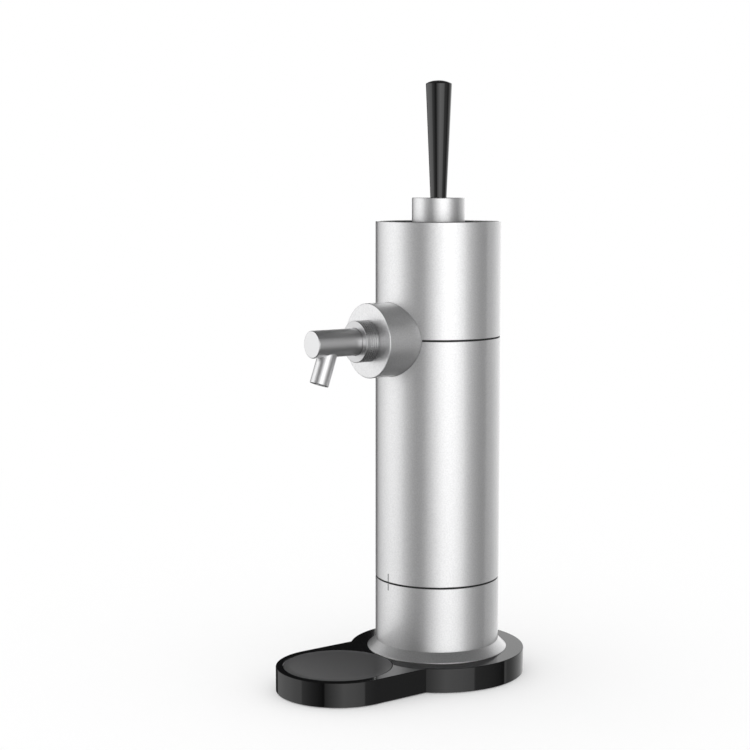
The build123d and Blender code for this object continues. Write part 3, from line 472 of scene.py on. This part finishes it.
lip = well_loop(mesh, WELL_R + WELL_LIP, base_high.z)
throat = well_loop(mesh, WELL_R, base_high.z - WELL_LIP)
bottom = well_loop(mesh, WELL_R, tray_low.z - WELL_ROOM)
fill(mesh, loops[-1], lip)
bridge(mesh, throat, lip)
bridge(mesh, bottom, throat)
fill(mesh, bottom)
piece_from(mesh, "base_moulding", "base", gloss_black, "base_shell")

# ==== Drip tray ====
# The tray is a separate black moulding that drops into the well. Its middle is dished and
# its flat rim lies flush with the base.
TRAY_RIM = 4.0 * MM
TRAY_DISH = 2.6 * MM
TRAY_SKIN = 1.6 * MM
TRAY_ROUND = 0.5 * MM
TRAY_UNDER_DROP = 0.05 * MM
DISH_STEPS = 16
TRAY_GREY = (0.056, 0.056, 0.057, 1)
TURNS = 224
ARC_BESIDE = 0.3
ON_AXIS = 1e-6


def rounded(corners, steps=5):
    """Outline from (radius, height, rounding) corners, each rounding drawn as an arc.

    A point on each straight side close to the arc keeps the arc's shading off that side.
    """
    points = []
    count = len(corners)
    for i, (r, h, size) in enumerate(corners):
        corner = Vector((r, h))
        if not size:
            points.append((r, h))
            continue
        back = (Vector(corners[i - 1][:2]) - corner).normalized()
        on = (Vector(corners[(i + 1) % count][:2]) - corner).normalized()
        half = back.angle(on) / 2
        centre = corner + (back + on).normalized() * size / math.sin(half)
        start = corner + back * size / math.tan(half) - centre
        end = corner + on * size / math.tan(half) - centre
        first = math.atan2(start.y, start.x)
        sweep = math.remainder(math.atan2(end.y, end.x) - first, 2 * math.pi)
        points.append(tuple(centre + start + back * size * ARC_BESIDE))
        for k in range(steps + 1):
            angle = first + sweep * k / steps
            points.append((centre.x + size * math.cos(angle), centre.y + size * math.sin(angle)))
        points.append(tuple(centre + end + on * size * ARC_BESIDE))
    return points


def lathe(outline, centre=AXIS, direction=(0, 0, 1)):
    """Mesh turned from a closed outline of (radius, height) about an axis."""
    mesh = bmesh.new()
    facing = Vector((0, 0, 1)).rotation_difference(Vector(direction)).to_matrix()
    rings = []
    for r, h in outline:
        if r < ON_AXIS:
            rings.append([mesh.verts.new(centre + facing @ Vector((0, 0, h)))] * TURNS)
            continue
        ring = []
        for k in range(TURNS):
            angle = 2 * math.pi * k / TURNS
            at = Vector((r * math.cos(angle), r * math.sin(angle), h))
            ring.append(mesh.verts.new(centre + facing @ at))
        rings.append(ring)
    for lower, upper in zip(rings, rings[1:] + rings[:1]):
        if lower[0] is lower[1] and upper[0] is upper[1]:
            continue
        for k in range(TURNS):
            j = (k + 1) % TURNS
            corners = []
            for vert in (lower[k], lower[j], upper[j], upper[k]):
                if vert not in corners:
                    corners.append(vert)
            mesh.faces.new(corners)
    return mesh


dish_r = TRAY_R - TRAY_RIM
sphere = (dish_r**2 + TRAY_DISH**2) / (2 * TRAY_DISH)
tray_top = tray_high.z
outline = [
    (TRAY_R - TRAY_SKIN, tray_top - TRAY_SKIN),
    (TRAY_R - TRAY_SKIN, tray_low.z),
    (TRAY_R, tray_low.z),
]
outline += rounded(
    [(TRAY_R, tray_low.z, 0), (TRAY_R, tray_top, TRAY_ROUND), (dish_r, tray_top, 0)]
)[1:-1]
for i in range(DISH_STEPS + 1):
    r = dish_r * (1 - i / DISH_STEPS)
    outline.append((r, tray_top - TRAY_DISH + sphere - math.sqrt(sphere**2 - r**2)))
outline.append((0, tray_top - TRAY_DISH - TRAY_SKIN))
outline.append((dish_r, tray_top - TRAY_SKIN - TRAY_UNDER_DROP))
tray_grey = finish_of(
    "tray grey", TRAY_GREY, metal=0.0, rough=0.45, spread=0.08, grain=900.0, bump=0.05, fleck=0.1
)
piece_from(lathe(outline, TRAY_CENTRE), "tray_dish", "tray", tray_grey, "drip_tray")

# ==== Foot ring and lower housing ====
# The housing is a satin metal sleeve that stays on the base. A sloping ring of the same
# metal covers the joint at its foot.
COLUMN_R = (column_high.x - column_low.x) / 2
SLEEVE_WALL = 2.0 * MM
SEAM_ROUND = 0.35 * MM
RING_ROOM = 0.1 * MM
RING_EDGE = 0.5 * MM
RING_ROUND = 0.2 * MM
HOUSING_FLOOR = 3.0 * MM
SATIN_SILVER = (0.82, 0.82, 0.825, 1)
satin = finish_of(
    "satin silver",
    SATIN_SILVER,
    metal=0.97,
    rough=0.40,
    spread=0.12,
    grain=1500.0,
    bump=0.3,
    coat=1.0,
    smudge=0.05,
    fleck=0.35,
)
ring_low, ring_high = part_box("foot_ring")
FOOT_RING_R = (ring_high.x - ring_low.x) / 2
inner_r = COLUMN_R - SLEEVE_WALL + RING_ROOM
outline = rounded(
    [
        (inner_r, ring_low.z, 0),
        (FOOT_RING_R, ring_low.z, 0),
        (FOOT_RING_R, ring_low.z + RING_EDGE, RING_ROUND),
        (COLUMN_R, ring_high.z, RING_ROUND),
        (inner_r, ring_high.z, 0),
    ]
)
piece_from(lathe(outline), "foot_ring_turned", "base", satin, "foot_ring")

housing_low, housing_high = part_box("lower_housing")
step_r = COLUMN_R - SLEEVE_WALL
floor_top = housing_low.z + HOUSING_FLOOR
outline = rounded(
    [
        (0, housing_low.z, 0),
        (step_r, housing_low.z, 0),
        (step_r, ring_high.z, 0),
        (COLUMN_R, ring_high.z, RING_ROUND),
        (COLUMN_R, housing_high.z, SEAM_ROUND),
        (COLUMN_R - SLEEVE_WALL, housing_high.z, 0),
        (COLUMN_R - SLEEVE_WALL, ring_high.z + SLEEVE_WALL, 0),
        (step_r - SLEEVE_WALL, ring_high.z + SLEEVE_WALL, 0),
        (step_r - SLEEVE_WALL, floor_top, 0),
        (0, floor_top, 0),
    ]
)
piece_from(lathe(outline), "housing_sleeve", "base", satin, "lower_housing")

# ==== Seam gaskets ====
# Black rubber rings lie in the two seams, one held by the lower housing and one by the
# column. They are set back from the metal, so that they read as dark lines.
SEAM_BACK = 0.45 * MM
RUBBER_BLACK = (0.012, 0.012, 0.012, 1)
rubber = finish_of(
    "black rubber", RUBBER_BLACK, metal=0.0, rough=0.62, spread=0.12, grain=1500.0, bump=0.12
)


def cut(piece, mesh):
    """Cuts a closed shape out of a piece for good."""
    bmesh.ops.recalc_face_normals(mesh, faces=mesh.faces)
    data = bpy.data.meshes.new("cutter")
    mesh.to_mesh(data)
    mesh.free()
    cutter = bpy.data.objects.new("cutter", data)
    scene.collection.objects.link(cutter)
    modifier = piece.modifiers.new("cut", "BOOLEAN")
    modifier.object = cutter
    modifier.solver = "EXACT"
    shown = piece.evaluated_get(bpy.context.evaluated_depsgraph_get())
    result = bpy.data.meshes.new_from_object(shown)
    piece.modifiers.clear()
    old = piece.data
    piece.data = result
    bpy.data.meshes.remove(old)
    bpy.data.objects.remove(cutter)
    smooth(piece)


boss_low, boss_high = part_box("tap_boss")
BOSS_R = (boss_high.x - boss_low.x) / 2
BOSS_ROOM = 0.3 * MM
NOTCH_PAST = 0.02
NOTCH_STEPS = 96
TAP_Z = sum(v.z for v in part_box("tap_shank")) / 2
TAP_CENTRE = AXIS + Vector((0, 0, TAP_Z))
FRONT = Vector((0, -1, 0))


def notch_shape(radius, up):
    """Cutter for the round notch of the tap boss, open upwards or downwards."""
    mesh = bmesh.new()
    depth = COLUMN_R + NOTCH_PAST
    loops = []
    for reach in (0, depth):
        points = []
        for k in range(NOTCH_STEPS + 1):
            angle = math.pi * k / NOTCH_STEPS
            points.append((radius * math.cos(angle), -up * radius * math.sin(angle)))
        points += [(-radius, up * 2 * radius), (radius, up * 2 * radius)]
        place = TAP_CENTRE + FRONT * reach
        loops.append([mesh.verts.new(place + Vector((x, 0, z))) for x, z in points])
    bridge(mesh, *loops)
    for loop in loops:
        mesh.faces.new(loop)
    return mesh


for name, node, body in (
    ("seam_ring_low", "lower_gasket", "base"),
    ("seam_ring_high", "upper_gasket", "column"),
):
    low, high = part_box(node)
    outline = [
        (COLUMN_R - SLEEVE_WALL, low.z),
        (COLUMN_R - SEAM_BACK, low.z),
        (COLUMN_R - SEAM_BACK, high.z),
        (COLUMN_R - SLEEVE_WALL, high.z),
    ]
    seam_ring = piece_from(lathe(outline), name, body, rubber, node)
    if body == "column":
        cut(seam_ring, notch_shape(BOSS_R + BOSS_ROOM, 1))

# ==== Column and head sleeves ====
# Both are tubes of the same satin metal. The boss of the tap sits in a round notch that
# they share, open at the seam, so that the head lifts off.
RIM_ROUND_OUT = 0.5 * MM
RIM_ROUND_IN = 0.3 * MM
HEAD_NOTCH_ROOM = 0.2 * MM
tube_low, tube_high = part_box("column_tube")
outline = rounded(
    [
        (COLUMN_R - SLEEVE_WALL, tube_low.z, 0),
        (COLUMN_R, tube_low.z, SEAM_ROUND),
        (COLUMN_R, tube_high.z, SEAM_ROUND),
        (COLUMN_R - SLEEVE_WALL, tube_high.z, 0),
    ]
)
sleeve = piece_from(lathe(outline), "column_sleeve", "column", satin, "column_tube")
cut(sleeve, notch_shape(BOSS_R + BOSS_ROOM, 1))
head_low, head_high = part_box("head_shell")
lid_low, lid_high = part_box("top_plate")
outline = rounded(
    [
        (COLUMN_R - SLEEVE_WALL, head_low.z, 0),
        (COLUMN_R, head_low.z, SEAM_ROUND),
        (COLUMN_R, head_high.z, RIM_ROUND_OUT),
        (COLUMN_R - SLEEVE_WALL, head_high.z, RIM_ROUND_IN),
        (COLUMN_R - SLEEVE_WALL, lid_low.z, 0),
        (COLUMN_R - 2 * SLEEVE_WALL, lid_low.z, 0),
        (COLUMN_R - 2 * SLEEVE_WALL, lid_low.z - SLEEVE_WALL, 0),
        (COLUMN_R - SLEEVE_WALL, lid_low.z - SLEEVE_WALL, 0),
    ]
)
sleeve = piece_from(lathe(outline), "head_sleeve", "head", satin, "head_shell")
cut(sleeve, notch_shape(BOSS_R + HEAD_NOTCH_ROOM, -1))

# ==== Alignment marks ====
# A fine line of grey enamel crosses the lower seam, in two pieces that meet when the column
# is locked.
MARK_W = 1.2 * MM
MARK_UP = 7.2 * MM
MARK_DOWN = 6.0 * MM
MARK_GAP = 0.3 * MM
MARK_PROUD = 0.03 * MM
MARK_SUNK = 0.25 * MM
MARK_STEPS = 4
MARK_GREY = (0.16, 0.16, 0.165, 1)
enamel = finish_of(
    "grey enamel", MARK_GREY, metal=0.0, rough=0.4, spread=0.05, grain=900.0, bump=0.02
)


def mark(name, body, z_low, z_high):
    """Thin curved plate on the front of the column."""
    mesh = bmesh.new()
    half = MARK_W / 2 / COLUMN_R
    loops = []
    for z in (z_low, z_high):
        loop = []
        for radius, sweep in ((COLUMN_R + MARK_PROUD, 1), (COLUMN_R - MARK_SUNK, -1)):
            for k in range(MARK_STEPS + 1):
                angle = -math.pi / 2 + sweep * half * (2 * k / MARK_STEPS - 1)
                x, y = radius * math.cos(angle), radius * math.sin(angle)
                loop.append(mesh.verts.new(AXIS + Vector((x, y, z))))
        loops.append(loop)
    bridge(mesh, *loops)
    for loop in loops:
        mesh.faces.new(loop)
    piece_from(mesh, name, body, enamel)


mark("alignment_mark_low", "base", housing_high.z - MARK_DOWN, housing_high.z - MARK_GAP)
mark("alignment_mark_high", "column", tube_low.z + MARK_GAP, tube_low.z + MARK_UP)

# ==== Head lid and collar ====
# The lid is matt black and lies just below the sleeve's rim. The collar is turned from the
# satin metal, with a slot in its top in which the lever swings.
collar_low, collar_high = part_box("lever_collar")
COLLAR_R = (collar_high.x - collar_low.x) / 2
COLLAR_WALL = 2.0 * MM
COLLAR_LID = 2.2 * MM
COLLAR_ROUND = 0.8 * MM
COLLAR_FOOT_ROUND = 0.2 * MM
SLOT_R = 7.6 * MM
SLOT_HALF = 12.83 * MM
SLOT_STEPS = 32
LID_ROOM = 0.2 * MM
LID_ROUND = 0.3 * MM
LID_SHINE = 0.15
LID_BLACK = (0.006, 0.006, 0.006, 1)
outline = rounded(
    [
        (COLLAR_R - COLLAR_WALL, lid_low.z, 0),
        (COLUMN_R - SLEEVE_WALL - LID_ROOM, lid_low.z, 0),
        (COLUMN_R - SLEEVE_WALL - LID_ROOM, lid_high.z, LID_ROUND),
        (COLLAR_R - COLLAR_WALL, lid_high.z, 0),
    ]
)
lid_black = finish_of(
    "matt black", LID_BLACK, metal=0.0, rough=0.7, spread=0.1, grain=900.0, bump=0.1
)
lid_shader = lid_black.node_tree.nodes["Principled BSDF"]
lid_shader.inputs["Specular IOR Level"].default_value = LID_SHINE
piece_from(lathe(outline), "head_lid", "head", lid_black, "top_plate")
outline = rounded(
    [
        (COLLAR_R - COLLAR_WALL, collar_low.z, 0),
        (COLLAR_R, collar_low.z, COLLAR_FOOT_ROUND),
        (COLLAR_R, collar_high.z, COLLAR_ROUND),
        (0, collar_high.z, 0),
        (0, collar_high.z - COLLAR_LID, 0),
        (COLLAR_R - COLLAR_WALL, collar_high.z - COLLAR_LID, 0),
    ]
)
collar = piece_from(lathe(outline), "collar", "head", satin, "lever_collar")
mesh = bmesh.new()
loops = []
for z in (collar_high.z - 2 * COLLAR_LID, collar_high.z + COLLAR_LID):
    loop = []
    for end in (1, -1):
        for k in range(SLOT_STEPS + 1):
            angle = math.pi * k / SLOT_STEPS + (0 if end == 1 else math.pi)
            y = SLOT_R * math.sin(angle) + end * (SLOT_HALF - SLOT_R)
            loop.append(mesh.verts.new(AXIS + Vector((SLOT_R * math.cos(angle), y, z))))
    loops.append(loop)
bridge(mesh, *loops)
for loop in loops:
    mesh.faces.new(loop)
cut(collar, mesh)

# ==== Handle ====
# A gloss black grip, slim at the collar and wider towards its low domed top, on a steel stem
# that screws into the rocking barrel.
grip_low, grip_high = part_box("handle_grip")
GRIP_R_LOW = 7.0 * MM
GRIP_R_TOP = 11.2 * MM
GRIP_DOME = 2.8 * MM
GRIP_ROUND = 0.9 * MM
GRIP_FOOT_ROUND = 0.2 * MM
GRIP_BORE_ROOM = 0.2 * MM
DOME_START = 0.6
DOME_START_RISE = 0.64
DOME_STEPS = 14
STEM_R = 4.1 * MM
GRIP_BLACK = (0.003, 0.003, 0.0032, 1)
shoulder = grip_high.z - GRIP_DOME
dome = (GRIP_R_TOP**2 + GRIP_DOME**2) / (2 * GRIP_DOME)
side = rounded(
    [
        (STEM_R, grip_low.z, 0),
        (GRIP_R_LOW, grip_low.z, GRIP_FOOT_ROUND),
        (GRIP_R_LOW, collar_high.z, 0),
        (GRIP_R_TOP, shoulder, GRIP_ROUND),
        (GRIP_R_TOP * DOME_START, shoulder + GRIP_DOME * DOME_START_RISE, 0),
    ]
)[:-1]
outline = list(side)
start_r = side[-1][0]
for i in range(1, DOME_STEPS + 1):
    r = start_r * (1 - i / DOME_STEPS)
    outline.append((r, grip_high.z - dome + math.sqrt(dome**2 - r**2)))
bore_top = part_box("lever_stem")[1].z + GRIP_BORE_ROOM
outline += [(0, bore_top), (STEM_R, bore_top)]
grip_black = finish_of(
    "grip black", GRIP_BLACK, metal=0.0, rough=0.05, spread=0.02, grain=300.0, bump=0.004, coat=0.5
)
piece_from(lathe(outline), "grip", "handle", grip_black, "handle_grip")

# ==== Tap boss ====
# A deep satin metal cup with a flat face, cut at its back to the curve of the column and
# held from inside by two screws.
BOSS_WALL = 2.5 * MM
BOSS_FACE = 3.0 * MM
BOSS_ROUND = 0.8 * MM
SHANK_R = 6.1 * MM
BOSS_BACK_R = 51.7 * MM
BOSS_ROOT = 0.02
BACK_CUT_LOW = 0.2
BACK_CUT_HIGH = 0.4
boss_reach = AXIS.y - boss_low.y
outline = rounded(
    [
        (BOSS_R, BOSS_ROOT, 0),
        (BOSS_R, boss_reach, BOSS_ROUND),
        (SHANK_R, boss_reach, 0),
        (SHANK_R, boss_reach - BOSS_FACE, 0),
        (BOSS_R - BOSS_WALL, boss_reach - BOSS_FACE, 0),
        (BOSS_R - BOSS_WALL, BOSS_ROOT, 0),
    ]
)
boss = piece_from(lathe(outline, TAP_CENTRE, FRONT), "boss", "head", satin, "tap_boss")
outline = [
    (0, BACK_CUT_LOW),
    (BOSS_BACK_R, BACK_CUT_LOW),
    (BOSS_BACK_R, BACK_CUT_HIGH),
    (0, BACK_CUT_HIGH),
]
cut(boss, lathe(outline))

# ==== Coupling nut ====
# A turned metal nut with fine grooves round it for grip. It screws onto the thread of the
# tap and holds the spout by its flange.
nut_low, nut_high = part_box("coupling_nut")
NUT_R = (nut_high.x - nut_low.x) / 2
NUT_GROOVES = 6
NUT_PITCH = 2.1 * MM
NUT_GROOVE_W = 1.0 * MM
NUT_GROOVE_D = 0.9 * MM
NUT_LAND_ROUND = 0.1 * MM
NUT_BACK_ROUND = 0.3 * MM
NUT_FRONT_ROUND = 0.5 * MM
NUT_BORE_ROOM = 0.3 * MM
NUT_BORE_ROUND = 0.1 * MM
NUT_LIP = 2.5 * MM
SPOUT_R = 11.43 * MM
THREAD_R = 14.8 * MM
# The nut's metal is darker than the spout's bright metal: painted shade that stands for the shade in
# its fine grooves.
NUT_METAL_GROOVE_SHADE = (0.66, 0.66, 0.665, 1)
nut_front = AXIS.y - nut_low.y
nut_back = AXIS.y - nut_high.y
corners = [(THREAD_R, nut_back, 0), (NUT_R, nut_back, NUT_BACK_ROUND)]
first = (nut_back + nut_front - NUT_PITCH * (NUT_GROOVES - 1)) / 2
for i in range(NUT_GROOVES):
    at = first + i * NUT_PITCH
    corners += [
        (NUT_R, at - NUT_GROOVE_W / 2, NUT_LAND_ROUND),
        (NUT_R - NUT_GROOVE_D, at - NUT_GROOVE_W / 2, 0),
        (NUT_R - NUT_GROOVE_D, at + NUT_GROOVE_W / 2, 0),
        (NUT_R, at + NUT_GROOVE_W / 2, NUT_LAND_ROUND),
    ]
corners += [
    (NUT_R, nut_front, NUT_FRONT_ROUND),
    (SPOUT_R + NUT_BORE_ROOM, nut_front, NUT_BORE_ROUND),
    (SPOUT_R + NUT_BORE_ROOM, nut_front - NUT_LIP, 0),
    (THREAD_R, nut_front - NUT_LIP, 0),
]
outline = rounded(corners, steps=3)
# Its colour carries the painted groove shade.
nut_metal_groove_shade = finish_of(
    "nut metal with painted groove shade",
    NUT_METAL_GROOVE_SHADE,
    metal=1.0,
    rough=0.36,
    spread=0.08,
    grain=1500.0,
    bump=0.05,
    coat=0.4,
    smudge=0.02,
)
piece_from(lathe(outline, TAP_CENTRE, FRONT), "nut", "nut", nut_metal_groove_shade, "coupling_nut")

# ==== Spout and nozzle ====
# The spout is a bright round bar with a flange for the nut, and the nozzle is a short tube
# welded into its underside, leaning forwards.
SPOUT_ROUND = 0.8 * MM
BRIGHT = (0.82, 0.82, 0.825, 1)
bright = finish_of(
    "bright turned metal",
    BRIGHT,
    metal=1.0,
    rough=0.36,
    spread=0.08,
    grain=1500.0,
    bump=0.2,
    coat=0.4,
    smudge=0.02,
)
FLANGE_R = 14.3 * MM
FLANGE_T = 2.1 * MM
FLANGE_ROUND = 0.2 * MM
NOZZLE_R = 8.0 * MM
NOZZLE_BORE = 5.2 * MM
NOZZLE_ROUND_OUT = 0.5 * MM
NOZZLE_ROUND_IN = 0.3 * MM
NOZZLE_END = 2 * MM
NOZZLE_SHORT = 0.4
NOZZLE_LEAN = math.radians(19.6)
NOZZLE_TIP_BACK = 7.3 * MM
NOZZLE_TIP_Z = 261.5 * MM
spout_low, spout_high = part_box("spout_body")
spout_front = AXIS.y - spout_low.y
NOZZLE_TIP = AXIS + Vector((0, NOZZLE_TIP_BACK - spout_front, NOZZLE_TIP_Z))
spout_back = AXIS.y - spout_high.y
outline = rounded(
    [
        (0, spout_back, 0),
        (FLANGE_R, spout_back, 0),
        (FLANGE_R, spout_back + FLANGE_T, FLANGE_ROUND),
        (SPOUT_R, spout_back + FLANGE_T, 0),
        (SPOUT_R, spout_front, SPOUT_ROUND),
        (0, spout_front, 0),
    ]
)
piece_from(lathe(outline, TAP_CENTRE, FRONT), "spout", "spout", bright, "spout_body")
nozzle_way = Vector((0, math.sin(NOZZLE_LEAN), math.cos(NOZZLE_LEAN)))
nozzle_length = (TAP_Z - NOZZLE_TIP.z) / math.cos(NOZZLE_LEAN) - NOZZLE_SHORT * SPOUT_R
outline = rounded(
    [
        (NOZZLE_BORE, 0, NOZZLE_ROUND_IN),
        (NOZZLE_R, 0, NOZZLE_ROUND_OUT),
        (NOZZLE_R, nozzle_length, 0),
        (0, nozzle_length, 0),
        (0, nozzle_length - NOZZLE_END, 0),
        (NOZZLE_BORE, nozzle_length - NOZZLE_END, 0),
    ]
)
piece_from(lathe(outline, NOZZLE_TIP, nozzle_way), "nozzle", "spout", bright, "spout_nozzle")

# ==== Inner pieces ====
# What shows only when the column is taken apart keeps its CAD shape, with the finish that
# such a moulding, screw or strip has.
INNER = {
    "grey moulding": (
        dict(
            colour=(0.10, 0.10, 0.105, 1), metal=0.0, rough=0.5, spread=0.1, grain=900.0, bump=0.1
        ),
        "base_bottom_plate bayonet_ring column_end_ring battery_holder battery_cap chassis_ring "
        "chassis_deck upper_deck pump_head lever_barrel front_plunger rear_plunger "
        "micro_switches",
    ),
    "white moulding": (
        dict(
            colour=(0.72, 0.72, 0.70, 1), metal=0.0, rough=0.35, spread=0.08, grain=700.0, bump=0.04
        ),
        "inner_liner neck_cup dip_tube tube_elbow beer_hose foam_chamber",
    ),
    "insulating foam": (
        dict(
            colour=(0.78, 0.77, 0.70, 1), metal=0.0, rough=0.9, spread=0.1, grain=350.0, bump=0.5
        ),
        "insulation_sleeve",
    ),
    "plain steel": (
        dict(
            colour=(0.55, 0.55, 0.55, 1), metal=1.0, rough=0.35, spread=0.12, grain=1200.0, bump=0.06
        ),
        "base_screws housing_screws deck_screws boss_screws yoke_screws pivot_yoke pivot_pin "
        "lever_stem pump_motor foam_transducer tap_shank",
    ),
    "contact brass": (
        dict(
            colour=(0.80, 0.58, 0.25, 1), metal=1.0, rough=0.3, spread=0.08, grain=1200.0, bump=0.04
        ),
        "battery_contacts lower_contact_pins contact_rings supply_strips upper_contact_pins",
    ),
    "green board": (
        dict(
            colour=(0.02, 0.16, 0.06, 1), metal=0.0, rough=0.4, spread=0.1, grain=1500.0, bump=0.08
        ),
        "control_board head_board",
    ),
    "battery sleeve": (
        dict(
            colour=(0.05, 0.07, 0.16, 1), metal=0.3, rough=0.3, spread=0.05, grain=800.0, bump=0.03
        ),
        "battery_cells",
    ),
}
for name, (values, nodes) in INNER.items():
    inner_finish = finish_of(name, **values)
    for node in nodes.split():
        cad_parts[node].data.materials.clear()
        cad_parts[node].data.materials.append(inner_finish)
for node in ("rubber_feet", "plug_seal", "spout_seal", "vessel_pad"):
    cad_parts[node].data.materials.clear()
    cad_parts[node].data.materials.append(rubber)

# ==== Return springs ====
# Two coil springs of steel wire bring the lever back to the middle. Each stands on the upper
# deck under the cap of its plunger.
SPRING_WIRE_R = 0.36 * MM
SPRING_INSET = 1.1 * SPRING_WIRE_R
SPRING_TURNS = 5.5
SPRING_FLAT = 0.12
SPRING_STEPS = 132
WIRE_SIDES = 8
for side in ("front", "rear"):
    low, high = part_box(side + "_spring")
    middle = Vector(((low.x + high.x) / 2, (low.y + high.y) / 2, 0))
    coil_r = (high.x - low.x) / 2 - SPRING_INSET
    bottom_z = low.z + SPRING_INSET
    top_z = high.z - SPRING_INSET
    mesh = bmesh.new()
    rings = []
    for i in range(SPRING_STEPS + 1):
        along = i / SPRING_STEPS
        rise = min(max((along - SPRING_FLAT) / (1 - 2 * SPRING_FLAT), 0), 1)
        angle = 2 * math.pi * SPRING_TURNS * along
        outwards = Vector((math.cos(angle), math.sin(angle), 0))
        ring = []
        for k in range(WIRE_SIDES):
            roll = 2 * math.pi * k / WIRE_SIDES
            at = middle + outwards * (coil_r + SPRING_WIRE_R * math.cos(roll))
            at.z = bottom_z + (top_z - bottom_z) * rise + SPRING_WIRE_R * math.sin(roll)
            ring.append(mesh.verts.new(at))
        rings.append(ring)
    for lower, upper in zip(rings, rings[1:]):
        bridge(mesh, lower, upper)
    for ring in (rings[0], rings[-1]):
        mesh.faces.new(ring)
    steel = bpy.data.materials["plain steel"]
    coil = piece_from(mesh, side + "_return_coil", None, steel, side + "_spring")
    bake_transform(coil)
